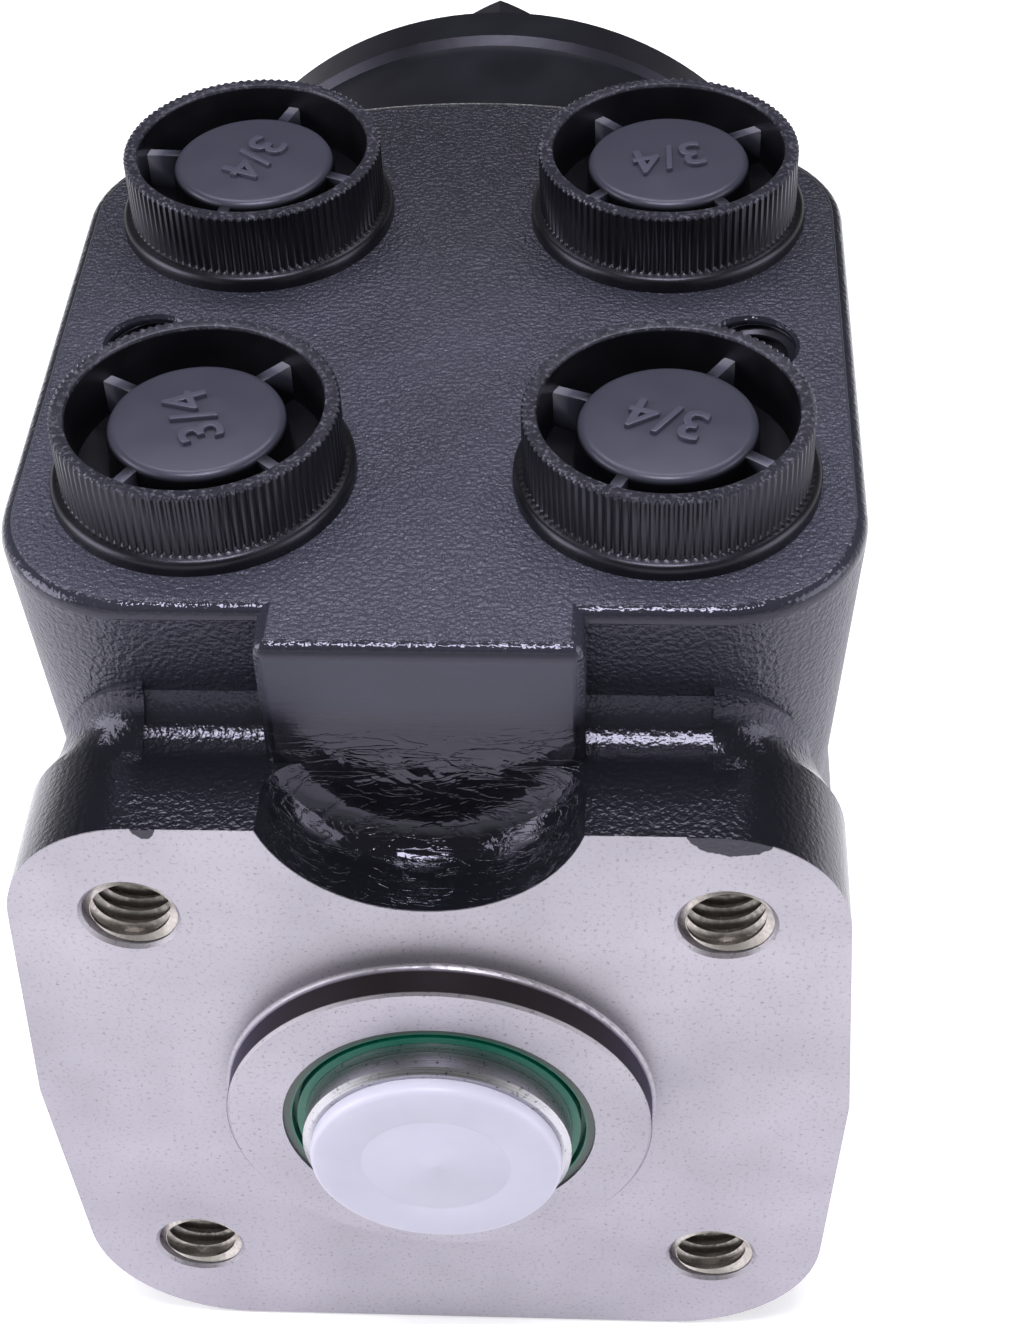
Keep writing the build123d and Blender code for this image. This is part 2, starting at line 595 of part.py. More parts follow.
def build_rotor():
    """Rotor with an internal spline, at rest against the ring's top lobe."""
    body = along_y(rotor_outline(), GEAR_Y + FACE, COVER_Y - FACE)
    body -= spline_bore(GEAR_Y - 1, COVER_Y + 1)
    return Pos(0, 0, ECCENTRICITY) * body


def build_spacer():
    radius = SPLINE_ROOT + SPLINE_DEPTH_GAP - LOOSE
    return Pos(0, 0, ECCENTRICITY) * disc(radius, COVER_Y - FACE - SPACER_LENGTH, COVER_Y - FACE)


def spline_head():
    """Crowned teeth, narrowing from the middle of the head to both ends."""
    outline = spline_outline(SPLINE_ROOT, SPLINE_TIP, TOOTH_ROOT_HALF, TOOTH_TIP_HALF)
    middle = Plane.XZ.offset(-HEAD_Y) * outline
    front = extrude(middle, amount=HEAD_LENGTH / 2, taper=CROWN)
    rear = extrude(middle, amount=-HEAD_LENGTH / 2, taper=CROWN)
    return front + rear


def build_drive_shaft():
    """Jointed shaft: a fork on the cross pin, a crowned spline in the rotor, tilted between them."""
    root_y = PIN_Y + FORK_ROOT
    body = disc(FORK_RADIUS, PIN_Y - FORK_REACH, root_y)
    slot_end = PIN_RADIUS + LOOSE + FORK_RADIUS * tan(radians(TILT))
    slot_length = FORK_REACH + 1 + slot_end
    body -= Pos(0, PIN_Y + slot_end - slot_length / 2, 0) * Box(
        2 * FORK_RADIUS + 2, slot_length, 2 * (PIN_RADIUS + FACE))
    shank = disc(SHANK_RADIUS, root_y - 1, HEAD_Y)
    straight = body + shank + spline_head()
    return Pos(0, PIN_Y, 0) * Rot(TILT, 0, 0) * Pos(0, -PIN_Y, 0) * straight


def build_end_cover():
    cover = disc(COVER_RADIUS, COVER_Y, COVER_END)
    cover = chamfer(cover.faces().sort_by(Axis.Y)[0].edges(), COVER_CHAMFER)
    return cover - screw_places(disc(SCREW_HOLE, COVER_Y - 1, COVER_END + 1))


def screw(tip_y):
    """Hexagon screw on the shaft axis, with its washer's thickness under the head."""
    seat = COVER_END + WASHER_THICKNESS
    corner = SCREW_FLATS / 2 / cos(pi / 6)
    head = along_y(RegularPolygon(corner, 6, rotation=90), seat, seat + SCREW_HEAD)
    dome = turned([(0, seat), (corner, seat), (corner, seat + SCREW_HEAD - SCREW_EDGE),
                   (corner - 2 * SCREW_EDGE, seat + SCREW_HEAD), (0, seat + SCREW_HEAD)])
    return (head & dome) + disc(SCREW_RADIUS, tip_y, seat + 1)


def build_cover_screws():
    copies = screw_places(screw(HOUSING_LENGTH - SCREW_GRIP))
    return [copy for index, copy in enumerate(copies) if index != CHECK_VALVE_INDEX]


def build_special_screw():
    """The screw over the check ball: its pin limits the ball's lift."""
    tip = HOUSING_LENGTH - SEAT_LENGTH
    return screw_places(screw(tip) + disc(CHECK_PIN_RADIUS, PIN_TIP, tip + 1))[CHECK_VALVE_INDEX]


def build_check_seat():
    bush = tube(SEAT_RADIUS, SCREW_RADIUS + SEAT, HOUSING_LENGTH - SEAT_LENGTH - SEAT, HOUSING_LENGTH - SEAT)
    return screw_places(bush)[CHECK_VALVE_INDEX]


def build_check_ball():
    return screw_places(Pos(0, BALL_Y, 0) * Sphere(BALL_RADIUS))[CHECK_VALVE_INDEX]


def build_cords():
    """Round-section sealing rings at the plate, the gear ring and the cover."""
    depths = [HOUSING_LENGTH - CORD_RADIUS, GEAR_Y + CORD_RADIUS, COVER_Y - CORD_RADIUS]
    return [Pos(0, y, 0) * Rot(90, 0, 0) * Torus(CORD_CIRCLE, CORD_RADIUS - SEAT) for y in depths]


def build_port_plug(angle):
    """Transit plug: a rim and a button joined by thin spokes, on a screwed stub."""
    rim_inner, top = PLUG_RIM_RADIUS - PLUG_WALL, PORT_FACE_Z + PLUG_HEIGHT
    floor, button_top = PORT_FACE_Z + PLUG_WEB, top - BUTTON_DROP
    outline = [(0, PORT_FACE_Z - STUB_LENGTH), (PORT_RADIUS - LOOSE, PORT_FACE_Z - STUB_LENGTH),
               (PORT_RADIUS - LOOSE, PORT_FACE_Z), (PLUG_FLANGE_RADIUS, PORT_FACE_Z),
               (PLUG_FLANGE_RADIUS, PORT_FACE_Z + PLUG_FLANGE), (PLUG_RIM_RADIUS, PORT_FACE_Z + PLUG_FLANGE),
               (PLUG_RIM_RADIUS, top), (rim_inner, top), (rim_inner, floor), (BUTTON_RADIUS, floor),
               (BUTTON_RADIUS, button_top), (0, button_top)]
    face = make_face(Polyline(*outline, close=True))
    corners = {PLUG_FLANGE_EDGE: (PLUG_FLANGE_RADIUS, PORT_FACE_Z + PLUG_FLANGE), BUTTON_EDGE: (BUTTON_RADIUS, button_top)}
    for size, (x, z) in corners.items():
        face = fillet(face.vertices().sort_by_distance((x, z, 0))[:1], size)
    body = revolve(Plane.XZ * face, Axis.Z)
    middle = (BUTTON_RADIUS + rim_inner) / 2
    height = button_top - SPOKE_DROP - floor
    spoke = Pos(middle, 0, floor + height / 2) * Box(rim_inner - BUTTON_RADIUS + 1, SPOKE_WIDTH, height)
    spokes = [Rot(0, 0, angle + index * 360 / SPOKES) * spoke for index in range(SPOKES)]
    return body + spokes


def build_spool_cap():
    front = CAP_THICKNESS + SPOOL_NOSE
    skirt = SPLINE_ROOT + SPLINE_DEPTH_GAP - SEAT
    rounded = fillet(disc(CAP_RADIUS, -front, -SPOOL_NOSE).faces().sort_by(Axis.Y)[0].edges(), CAP_EDGE)
    return rounded + disc(skirt, -SPOOL_NOSE - 1, CAP_SKIRT - SPOOL_NOSE)


def main():
    os.makedirs("parts", exist_ok=True)
    write("housing", build_housing())
    write("shaft_seal", build_shaft_seal())
    write("pressure_seal_ring", build_pressure_seal())
    for name, piece in bearing_pieces().items():
        write(name, piece)
    write("sleeve", build_sleeve())
    write("spool", build_spool())
    write("cross_pin", build_cross_pin())
    write("centring_springs", build_springs())
    write("spring_ring", build_spring_ring())
    write("drive_shaft", build_drive_shaft())
    write("shaft_spacer", build_spacer())
    write("rotor", build_rotor())
    write("gear_ring", build_gear_ring())
    write("distributor_plate", build_distributor_plate())
    write("end_cover", build_end_cover())
    write("sealing_rings", build_cords())
    write("cover_screws", build_cover_screws())
    write("special_screw", build_special_screw())
    washer = tube(WASHER_RADIUS, SCREW_HOLE, COVER_END, COVER_END + WASHER_THICKNESS)
    write("screw_washers", screw_places(washer))
    write("check_valve_seat", build_check_seat())
    write("check_ball", build_check_ball())
    write("spool_cap", build_spool_cap())
    for row, y in PORT_ROWS.items():
        for side, sign in PORT_SIDES.items():
            plug = build_port_plug(PLUG_ANGLES[f"{row}_{side}"])
            write(f"port_plug_{row}_{side}", Pos(sign * PORT_X, y, 0) * plug)


if __name__ == "__main__":
    main()
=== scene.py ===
"""Orbital steering unit: finishes, threads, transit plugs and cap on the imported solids, with a plain stage.

Everything is in the model's own frame: Y runs from the mounting flange to the end cover, and Z points out
of the port face. Sizes are in millimetres unless a comment says otherwise, and become metres in the mesh.
"""
import math

import bmesh
import bpy
from bpy.props import FloatProperty, FloatVectorProperty, IntProperty, PointerProperty
from mathutils import Matrix, Vector


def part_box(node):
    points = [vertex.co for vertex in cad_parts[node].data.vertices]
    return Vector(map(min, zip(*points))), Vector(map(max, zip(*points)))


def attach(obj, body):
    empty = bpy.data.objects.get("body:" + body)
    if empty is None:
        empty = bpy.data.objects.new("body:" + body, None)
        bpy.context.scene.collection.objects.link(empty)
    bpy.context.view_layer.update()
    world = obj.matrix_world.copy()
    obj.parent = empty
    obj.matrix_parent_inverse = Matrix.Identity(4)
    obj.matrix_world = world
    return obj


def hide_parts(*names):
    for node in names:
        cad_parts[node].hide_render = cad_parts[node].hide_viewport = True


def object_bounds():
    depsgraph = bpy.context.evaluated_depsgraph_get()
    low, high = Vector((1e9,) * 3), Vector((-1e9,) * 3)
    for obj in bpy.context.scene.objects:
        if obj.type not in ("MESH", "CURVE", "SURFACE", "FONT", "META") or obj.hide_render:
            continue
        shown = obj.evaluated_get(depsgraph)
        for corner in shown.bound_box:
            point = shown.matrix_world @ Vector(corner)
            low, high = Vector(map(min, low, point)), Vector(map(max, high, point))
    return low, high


bl_info = {
    "name": "Orbital steering unit",
    "version": (1, 0, 0),
    "blender": (4, 5, 0),
    "location": "View3D > Sidebar > Steering unit",
    "description": "Dresses the solids of a hydraulic steering unit and sets up a plain studio",
    "category": "Object",
}

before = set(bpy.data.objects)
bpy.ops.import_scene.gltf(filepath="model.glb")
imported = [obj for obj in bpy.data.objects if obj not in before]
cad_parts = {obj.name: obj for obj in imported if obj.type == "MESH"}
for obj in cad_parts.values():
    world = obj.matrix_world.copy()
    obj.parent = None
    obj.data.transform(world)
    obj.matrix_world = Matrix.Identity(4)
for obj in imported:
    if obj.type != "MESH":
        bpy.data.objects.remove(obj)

MM = 0.001
MIXED, FIRST, SECOND = 2, 6, 7            # sockets of a Mix node that mixes colours
ENAMEL_TINT = (0.82, 0.80, 1.0, 1.0)      # the black enamel's shine leans to violet

PORT_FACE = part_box("housing")[1].z / MM
SPOOL_NOSE = -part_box("spool")[0].y / MM
SEAL_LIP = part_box("shaft_seal")[1].x / MM - 0.85    # where the seal's outer ring starts
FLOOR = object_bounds()[0].z                  # in metres, under the foot

FLANGE_HOLE = 29.185                      # half the spacing of the flange's threaded holes
MANIFOLD_HOLE = (31.8, 55.5)
HOLE_SPAN = (-0.45, -16.2)                # a thread starts below the mouth and ends above the drill point
THREAD_WALL = 0.05

BLOCK_CORNER = 15.0
BLOCK_CORNER_CENTRE = (27.7, 29.1)
HOLLOW = 5.5                              # radius of the hollow at the port block's foot
HOLLOW_ROOT = 1.5                         # how deep the hollow's piece sinks into the flange
HOLLOW_ARC = [math.pi / 16 * step for step in range(9)]
HOLLOW_TURN, HOLLOW_FADE = math.radians(46), math.radians(84)
BESIDE = 0.9                              # the flange's height is felt this far outside the block's corner,
RAY_START = 50.0                          # with a ray that starts here, above the flange

# Where each kind of surface begins and where it has fully set in, along one of the casting's measures
REGIONS = {
    "front": ("y", 16.0, 13.0),
    "top": ("z", PORT_FACE - 1.6, PORT_FACE - 0.4),
    "below_top": ("z", PORT_FACE - 0.4, PORT_FACE - 1.6),
    "top_edge": ("from_top_edge", 0.795, 0.77),
    "panel_width": ("side", 15.4, 14.8),
    "hollow_and_below": ("z", 50.0, 47.0),
    "above_flange_middle": ("z", 20.0, 26.0),
    "pool_level": ("z", 46.5, 43.0),
    "fold_level": ("z", 48.0, 44.0),
    "faced_front": ("ragged_y", 0.19, 0.16),
    "hole_width": ("from_hole", 5.16, 5.12),
    "hole_depth": ("y", 22.0, 21.0),
    "bore": ("from_axis", 23.1, 23.0),
    "pilot_side": ("from_axis", 22.2, 22.25),
    "pilot_front": ("y", -0.5, -0.75),
}
OVERLAPS = {
    "panel": ("panel_width", "front", "below_top"),
    "wet": ("hollow_and_below", "front", "above_flange_middle"),
    "pool": ("pool_level", "panel"),
    "folds": ("fold_level", "panel"),
    "hole": ("hole_width", "hole_depth"),
    "film": ("pilot_side", "pilot_front"),
}
TOP_EDGE_MIDDLE = PORT_FACE - 0.8         # middle height of the rounded edge round the port face
PAINT_MARKS = (((29.6, 0.0, 44.4), 4.6), ((-26.2, 0.0, 41.9), 0.7))    # paint left on the faced front

# Each transit plug's body, the turn of its spokes and the turn of its numerals, in degrees
PLUGS = {
    "front_left": ("plug_front_left", 53.0, 114.0),
    "front_right": ("plug_front_right", 61.0, 160.0),
    "rear_left": ("plug_rear_left", 76.0, -114.0),
    "rear_right": ("plug_rear_right", 38.0, -163.0),
}
BUTTON_RADIUS, BUTTON_TOP = 8.87, 7.10
RIM_INNER, RIM_OUTER, RIM_TOP = 12.65, 14.0, 8.8
STUB_RADIUS, STUB_LENGTH = 8.5, 9.0
# Radius and height, from the middle of the button over the rim and the base ring to the end of the stub
PLUG_OUTLINE = [
    (0, BUTTON_TOP), (7.95, BUTTON_TOP), (8.35, 7.02), (8.68, 6.78), (BUTTON_RADIUS, 6.38), (8.9, 6.0),
    (9.1, 2.2), (9.4, 2.0), (12.5, 2.0), (RIM_INNER, 2.2), (12.7, 8.35), (12.72, 8.55), (12.82, 8.76),
    (12.98, RIM_TOP), (13.85, RIM_TOP), (RIM_OUTER, 8.62), (RIM_OUTER, 8.4), (RIM_OUTER, 2.0), (14.25, 1.75),
    (14.7, 1.68), (15.02, 1.5), (15.22, 1.15), (15.25, 0.7), (15.25, 0.0), (STUB_RADIUS, 0.0),
    (STUB_RADIUS, -STUB_LENGTH), (0, -STUB_LENGTH)]
SPOKE_MIDDLE, SPOKE_SIZE = (10.8, 0, 4.25), (4.2, 1.3, 4.7, 1)
SPOKE_FALL = 0.5                          # a spoke drops this much towards the rim
RIBS_START = 1.9                          # the knurl ribs begin at this height
# Least and greatest radius, least and greatest height, how worn the plug is there, and how much dust or
# painted sheen lies there
PLUG_WEAR = {
    # Only the rim's last value is dust. On the spokes it is a painted highlight of their lit tops, and on the
    # numerals and the button it is a painted sheen
    "spokes": (8.95, 13.0, 5.5, 7.0, 0.0, 2.0),
    "numerals": (0.0, 7.5, 7.3, 9.0, 0.0, 1.0),
    "rim": (12.5, 16.0, 8.5, 9.0, 0.9, 0.25),
    "button": (0.0, 8.9, 6.7, 9.0, 0.0, 0.7),
}
# Radius and height, from the gate mark over the dished top and the rounded rim to the end of the plug
CAP_OUTLINE = [
    (0, 1.74), (0.28, 1.74), (0.34, 1.70), (7.55, 1.70), (7.65, 1.66), (7.85, 1.66), (7.95, 1.72),
    (12.45, 1.80), (12.72, 1.72), (12.92, 1.55), (13.03, 1.25), (13.05, 0.9), (13.0, 0.2), (12.85, 0.0),
    (9.13, 0.0), (9.13, -7.6), (8.9, -8.0), (0, -8.0)]

TURNED_NODES = ("distributor_plate", "gear_ring", "end_cover", "cover_screws", "special_screw",
                "screw_washers")
GROUND_NODES = ("spool", "sleeve", "rotor")
HARDENED_NODES = ("cross_pin", "spring_ring", "drive_shaft", "shaft_spacer", "bearing_race_front",
                  "bearing_race_rear", "bearing_cage", "bearing_needles", "check_ball", "check_valve_seat")

# Each lamp's place, width and depth in metres, and its power in watts
LAMPS = {
    "rear_softbox": ((0.0, 0.50, 0.97), 0.95, 0.26, 5.0),
    "overhead_softbox": ((0.0, -0.12, 0.75), 0.30, 0.16, 3.4),
    "left_softbox": ((-0.70, -0.10, 0.30), 0.5, 0.5, 4.0),
    "right_softbox": ((0.70, -0.10, 0.30), 0.5, 0.5, 2.4),
}
LAMP_TARGET = Vector((0, 0.05, 0.02))
FLOOR_HALF = 3.0                          # in metres
FLOOR_FADE = (350.0, 800.0)               # where the floor runs out into white, from the origin
CAMERA_PLACE = (0.021195, -0.152491, 0.213102)
CAMERA_AZIMUTH, CAMERA_ELEVATION, CAMERA_ROLL = (math.radians(turn) for turn in (4.4031, 44.180, -2.4776))
LENS, SENSOR = 66.576, 36.0


def linear(code):
    """The linear colour of an sRGB hex value, with a full alpha."""
    parts = [int(code[i:i + 2], 16) / 255 for i in (1, 3, 5)]
    return [p / 12.92 if p <= 0.04045 else ((p + 0.055) / 1.055) ** 2.4 for p in parts] + [1.0]


def fill(tree, node, values):
    """Sets a node's sockets, in order or by name, to numbers, colours or other nodes' outputs."""
    for socket, value in values.items() if isinstance(values, dict) else enumerate(values):
        if isinstance(value, bpy.types.NodeSocket):
            tree.links.new(value, node.inputs[socket])
        else:
            node.inputs[socket].default_value = value


def add(tree, kind, values=(), out=0, **settings):
    """Adds a node with its settings, fills its sockets and returns one of its outputs."""
    made = tree.nodes.new(kind)
    for name, value in settings.items():
        setattr(made, name, value)
    fill(tree, made, values)
    return made.outputs[out]


def start_material(name):
    """A new material with its tree, its shader, and the object coordinates in millimetres."""
    made = bpy.data.materials.new(name)
    made.use_nodes = True
    tree = made.node_tree
    place = add(tree, "ShaderNodeTexCoord", out="Object")
    mm = add(tree, "ShaderNodeVectorMath", {0: place, "Scale": 1 / MM}, operation="SCALE")
    return made, tree, tree.nodes["Principled BSDF"], mm


def shift(tree, value, masks, changes):
    """Raises or lowers a value by the given amounts where the named masks hold."""
    for name, change in changes.items():
        value = add(tree, "ShaderNodeMath", (masks[name], change, value), operation="MULTIPLY_ADD")
    return value


def from_axis(tree, mm):
    """The distance from the shaft's axis."""
    x, _, z = add(tree, "ShaderNodeSeparateXYZ", (mm,)).node.outputs
    flat = add(tree, "ShaderNodeCombineXYZ", (x, z))
    return add(tree, "ShaderNodeVectorMath", (flat,), "Value", operation="LENGTH")


def casting_measures(tree, mm):
    """Distances on the casting that tell its kinds of surface apart."""
    x, y, z = add(tree, "ShaderNodeSeparateXYZ", (mm,)).node.outputs
    side, rise = (add(tree, "ShaderNodeMath", (way,), operation="ABSOLUTE") for way in (x, z))
    ragged = add(tree, "ShaderNodeTexNoise", {"Vector": mm, "Scale": 1 / 1.4, "Detail": 3.0})
    to_hole = [add(tree, "ShaderNodeMath", (way, FLANGE_HOLE), operation="SUBTRACT") for way in (side, rise)]
    to_hole = add(tree, "ShaderNodeCombineXYZ", to_hole)
    to_edge = add(tree, "ShaderNodeMath", (z, TOP_EDGE_MIDDLE), operation="SUBTRACT")
    return {
        "y": y,
        "z": z,
        "side": side,
        "ragged": ragged,
        "ragged_y": add(tree, "ShaderNodeMath", (ragged, 0.12, y), operation="MULTIPLY_ADD"),
        "from_hole": add(tree, "ShaderNodeVectorMath", (to_hole,), "Value", operation="LENGTH"),
        "from_axis": from_axis(tree, mm),
        "from_top_edge": add(tree, "ShaderNodeMath", (to_edge,), operation="ABSOLUTE"),
    }


def casting_masks(tree, mm, measures):
    """Masks from 0 to 1 for the casting's kinds of surface."""
    masks = {name: add(tree, "ShaderNodeMapRange", (measures[along], begins, full))
             for name, (along, begins, full) in REGIONS.items()}
    for name, parts in OVERLAPS.items():
        masks[name] = masks[parts[0]]
        for part in parts[1:]:
            masks[name] = add(tree, "ShaderNodeMath", (masks[name], masks[part]), operation="MULTIPLY")

    # Bare iron is the faced front less two licks of paint, and the threaded holes and the bore
    bare = masks["faced_front"]
    for centre, reach in PAINT_MARKS:
        off = add(tree, "ShaderNodeVectorMath", (mm, centre), "Value", operation="DISTANCE")
        off = add(tree, "ShaderNodeMath", (measures["ragged"], -1.0, off), operation="MULTIPLY_ADD")
        clear = add(tree, "ShaderNodeMapRange", (off, reach, reach + 0.1))
        bare = add(tree, "ShaderNodeMath", (bare, clear), operation="MULTIPLY")
    for part in ("hole", "bore"):
        bare = add(tree, "ShaderNodeMath", (bare, masks[part]), operation="MAXIMUM")
    masks["bare"] = bare
    return masks


def casting_skin(tree, mm, masks):
    """The painted skin's height in mm: sand grain and lumps, and waves and folds where the paint ran.

    The grain is drawn a little coarser than moulding sand, so that it shows.
    """
    grain = add(tree, "ShaderNodeTexNoise", {"Vector": mm, "Scale": 1 / 0.52, "Detail": 1.5})
    lumps = add(tree, "ShaderNodeTexNoise", {"Vector": mm, "Scale": 1 / 2.6, "Detail": 3.0})
    waves = add(tree, "ShaderNodeTexNoise", {"Vector": mm, "Scale": 1 / 4.6, "Detail": 1.0,
                                             "Distortion": 0.9})
    across = add(tree, "ShaderNodeMapping", {"Vector": mm, "Scale": (0.22, 1.0, 0.75),
                                             "Rotation": (0.0, 0.12, 0.0)})
    folds = add(tree, "ShaderNodeTexNoise", {"Vector": across, "Scale": 1 / 1.25, "Detail": 3.0,
                                             "Distortion": 0.8})
    folds = add(tree, "ShaderNodeMath", (folds, 0.5), operation="SUBTRACT")
    folds = add(tree, "ShaderNodeMath", (folds,), operation="ABSOLUTE")
    folds = add(tree, "ShaderNodeMapRange", (folds, 0.0, 0.05), interpolation_type="SMOOTHSTEP")

    share = add(tree, "ShaderNodeMapRange", (masks["top"], 0.0, 1.0, 0.62, 1.0))
    share = shift(tree, share, masks, {"panel": -0.56, "wet": -0.47, "top_edge": -0.75})
    share = add(tree, "ShaderNodeMath", (share, 0.03), operation="MAXIMUM")
    height = add(tree, "ShaderNodeMath", (grain, 0.42), operation="MULTIPLY")
    lump_height = add(tree, "ShaderNodeMapRange", (masks["top"], 0.0, 1.0, 0.13, 0.02))
    height = add(tree, "ShaderNodeMath", (lumps, lump_height, height), operation="MULTIPLY_ADD")
    height = add(tree, "ShaderNodeMath", (height, share), operation="MULTIPLY")
    for pattern, region, full in ((waves, "pool", 0.24), (folds, "folds", 0.028)):
        local = add(tree, "ShaderNodeMath", (masks[region], full), operation="MULTIPLY")
        height = add(tree, "ShaderNodeMath", (pattern, local, height), operation="MULTIPLY_ADD")
    return height


def casting_paint(tree, mm, measures, masks, colours):
    """The enamel's colour and roughness: chalky where it fell dry, black and glossy where it lay wet. The
    port face's pale overspray is partly a painted reflection, and the rear and the port face's edge carry
    painted shade.
    """
    dry = add(tree, "ShaderNodeMapRange", (masks["wet"], 0.0, 1.0, 1.0, 0.1))
    # Painted shade: the rounded edge round the port face loses most of its overspray, so it shows as a dark
    # band along the edge
    dry = add(tree, "ShaderNodeMath", (masks["top_edge"], -0.6, dry), operation="MULTIPLY_ADD",
              use_clamp=True)
    # Painted shade: the overspray thins from the front of the casting to its back, so the rear of the port
    # face reads darker, as though less light falls there
    painted_rear_shade = add(tree, "ShaderNodeMapRange", (measures["y"], 25.0, 95.0, 1.2, 0.2))
    patches = add(tree, "ShaderNodeTexNoise", {"Vector": mm, "Scale": 1 / 12.0, "Detail": 2.0})
    patches = add(tree, "ShaderNodeMapRange", (patches, 0.3, 0.7, 0.85, 1.1))
    # Partly painted reflection: the port face takes the full overspray, both as dry overspray and as a
    # painted reflection of the light above and behind it
    chalk_and_sheen = add(tree, "ShaderNodeMath", (masks["top"], 0.55), operation="MAXIMUM")
    for part in (dry, painted_rear_shade, patches):
        chalk_and_sheen = add(tree, "ShaderNodeMath", (chalk_and_sheen, part), operation="MULTIPLY")
    colour = add(tree, "ShaderNodeMix", {0: chalk_and_sheen, FIRST: colours.paint, SECOND: colours.overspray}, MIXED,
                 data_type="RGBA")
    rough = add(tree, "ShaderNodeMapRange", (masks["top"], 0.0, 1.0, 0.36, 0.30))
    return colour, shift(tree, rough, masks, {"top_edge": -0.20, "wet": -0.20, "pool": -0.10})


def casting_iron(tree, mm, measures, masks, colours):
    """Faced cast iron's colour, roughness and height: cutter rings, graphite specks and a dark oily film."""
    rings = add(tree, "ShaderNodeTexNoise", {"W": measures["from_axis"], "Scale": 1 / 0.35, "Detail": 2.0},
                noise_dimensions="1D")
    pores = add(tree, "ShaderNodeTexNoise", {"Vector": mm, "Scale": 1 / 0.45, "Detail": 3.0,
                                             "Roughness": 0.7})
    specks = add(tree, "ShaderNodeMapRange", (pores, 0.56, 0.74))
    cloud = add(tree, "ShaderNodeTexNoise", {"Vector": mm, "Scale": 1 / 16.0, "Detail": 3.0})
    colour = colours.bare_iron
    for mask, tone in ((cloud, "#9f9ca2"), (specks, "#77747a"), (masks["film"], "#3f3b3c")):
        colour = add(tree, "ShaderNodeMix", {0: mask, FIRST: colour, SECOND: linear(tone)}, MIXED,
                     data_type="RGBA")
    rough = add(tree, "ShaderNodeMapRange", (cloud, 0.3, 0.7, 0.42, 0.52))
    height = add(tree, "ShaderNodeMath", (rings, 0.004), operation="MULTIPLY")
    return colour, rough, add(tree, "ShaderNodeMath", (pores, 0.012, height), operation="MULTIPLY_ADD")


def painted_casting(colours):
    """Black air-drying enamel sprayed over a sand casting, cut back to bare iron on the machined faces.

    The port face is dry, chalky overspray over sand grain, made paler as a painted reflection of the light
    from above and behind, and darker towards the rear as painted shade.
    The centre panel is smoother, and low on the front the paint is wet and thick: it ran down the hollows and
    wrinkled as it dried.
    """
    made, tree, shader, mm = start_material("black_enamel_on_cast_iron")
    measures = casting_measures(tree, mm)
    masks = casting_masks(tree, mm, measures)
    bare = masks["bare"]
    paint, paint_rough = casting_paint(tree, mm, measures, masks, colours)
    iron, iron_rough, iron_height = casting_iron(tree, mm, measures, masks, colours)
    colour = add(tree, "ShaderNodeMix", {0: bare, FIRST: paint, SECOND: iron}, MIXED, data_type="RGBA")
    rough = add(tree, "ShaderNodeMapRange", (bare, 0.0, 1.0, paint_rough, iron_rough))
    height = add(tree, "ShaderNodeMapRange", (bare, 0.0, 1.0, casting_skin(tree, mm, masks), iron_height))
    normal = add(tree, "ShaderNodeBump", {"Strength": 1.0, "Distance": MM, "Height": height})
    fill(tree, shader, {"Base Color": colour, "Roughness": rough, "Metallic": bare, "Normal": normal,
                        "Specular Tint": ENAMEL_TINT})
    return made


def painted_steel(colours):
    """The same black enamel over turned steel: no sand grain, only a faint unevenness in the film."""
    made, tree, shader, mm = start_material("black_enamel_on_turned_steel")
    grain = add(tree, "ShaderNodeTexNoise", {"Vector": mm, "Scale": 1 / 0.9, "Detail": 2.0})
    cloud = add(tree, "ShaderNodeTexNoise", {"Vector": mm, "Scale": 1 / 9.0, "Detail": 2.0})
    colour = add(tree, "ShaderNodeMix", {0: cloud, FIRST: colours.paint, SECOND: linear("#16161d")}, MIXED,
                 data_type="RGBA")
    rough = add(tree, "ShaderNodeMapRange", (cloud, 0.3, 0.7, 0.30, 0.40))
    normal = add(tree, "ShaderNodeBump", {"Strength": 1.0, "Distance": 0.02 * MM, "Height": grain})
    fill(tree, shader, {"Base Color": colour, "Roughness": rough, "Normal": normal,
                        "Specular Tint": ENAMEL_TINT})
    return made


def ground_steel(colours):
    """Ground alloy steel: fine rings round the shaft axis, and dark specks where oil and dust sit."""
    made, tree, shader, mm = start_material("ground_alloy_steel")
    along = add(tree, "ShaderNodeSeparateXYZ", (mm,), "Y")
    rings = add(tree, "ShaderNodeTexNoise", {"W": along, "Scale": 1 / 0.12, "Detail": 3.0},
                noise_dimensions="1D")
    specks = add(tree, "ShaderNodeTexNoise", {"Vector": mm, "Scale": 1 / 0.6, "Detail": 4.0,
                                              "Roughness": 0.7})
    specks = add(tree, "ShaderNodeMapRange", (specks, 0.58, 0.70))
    colour = add(tree, "ShaderNodeMix", {0: specks, FIRST: colours.steel, SECOND: linear("#5c5b60")}, MIXED,
                 data_type="RGBA")
    rough = add(tree, "ShaderNodeMapRange", (rings, 0.3, 0.7, 0.24, 0.36))
    normal = add(tree, "ShaderNodeBump", {"Strength": 1.0, "Distance": 0.004 * MM, "Height": rings})
    fill(tree, shader, {"Base Color": colour, "Metallic": 1.0, "Roughness": rough, "Normal": normal})
    return made


def hardened_steel(name, bright, dark):
    """Hardened steel under thin oil: smooth, with a cloudy heat tint."""
    made, tree, shader, mm = start_material(name)
    cloud = add(tree, "ShaderNodeTexNoise", {"Vector": mm, "Scale": 1 / 5.0, "Detail": 3.0})
    colour = add(tree, "ShaderNodeMix", {0: cloud, FIRST: linear(bright), SECOND: linear(dark)}, MIXED,
                 data_type="RGBA")
    fine = add(tree, "ShaderNodeTexNoise", {"Vector": mm, "Scale": 1 / 0.3, "Detail": 2.0})
    rough = add(tree, "ShaderNodeMapRange", (fine, 0.3, 0.7, 0.22, 0.34))
    fill(tree, shader, {"Base Color": colour, "Metallic": 1.0, "Roughness": rough})
    return made


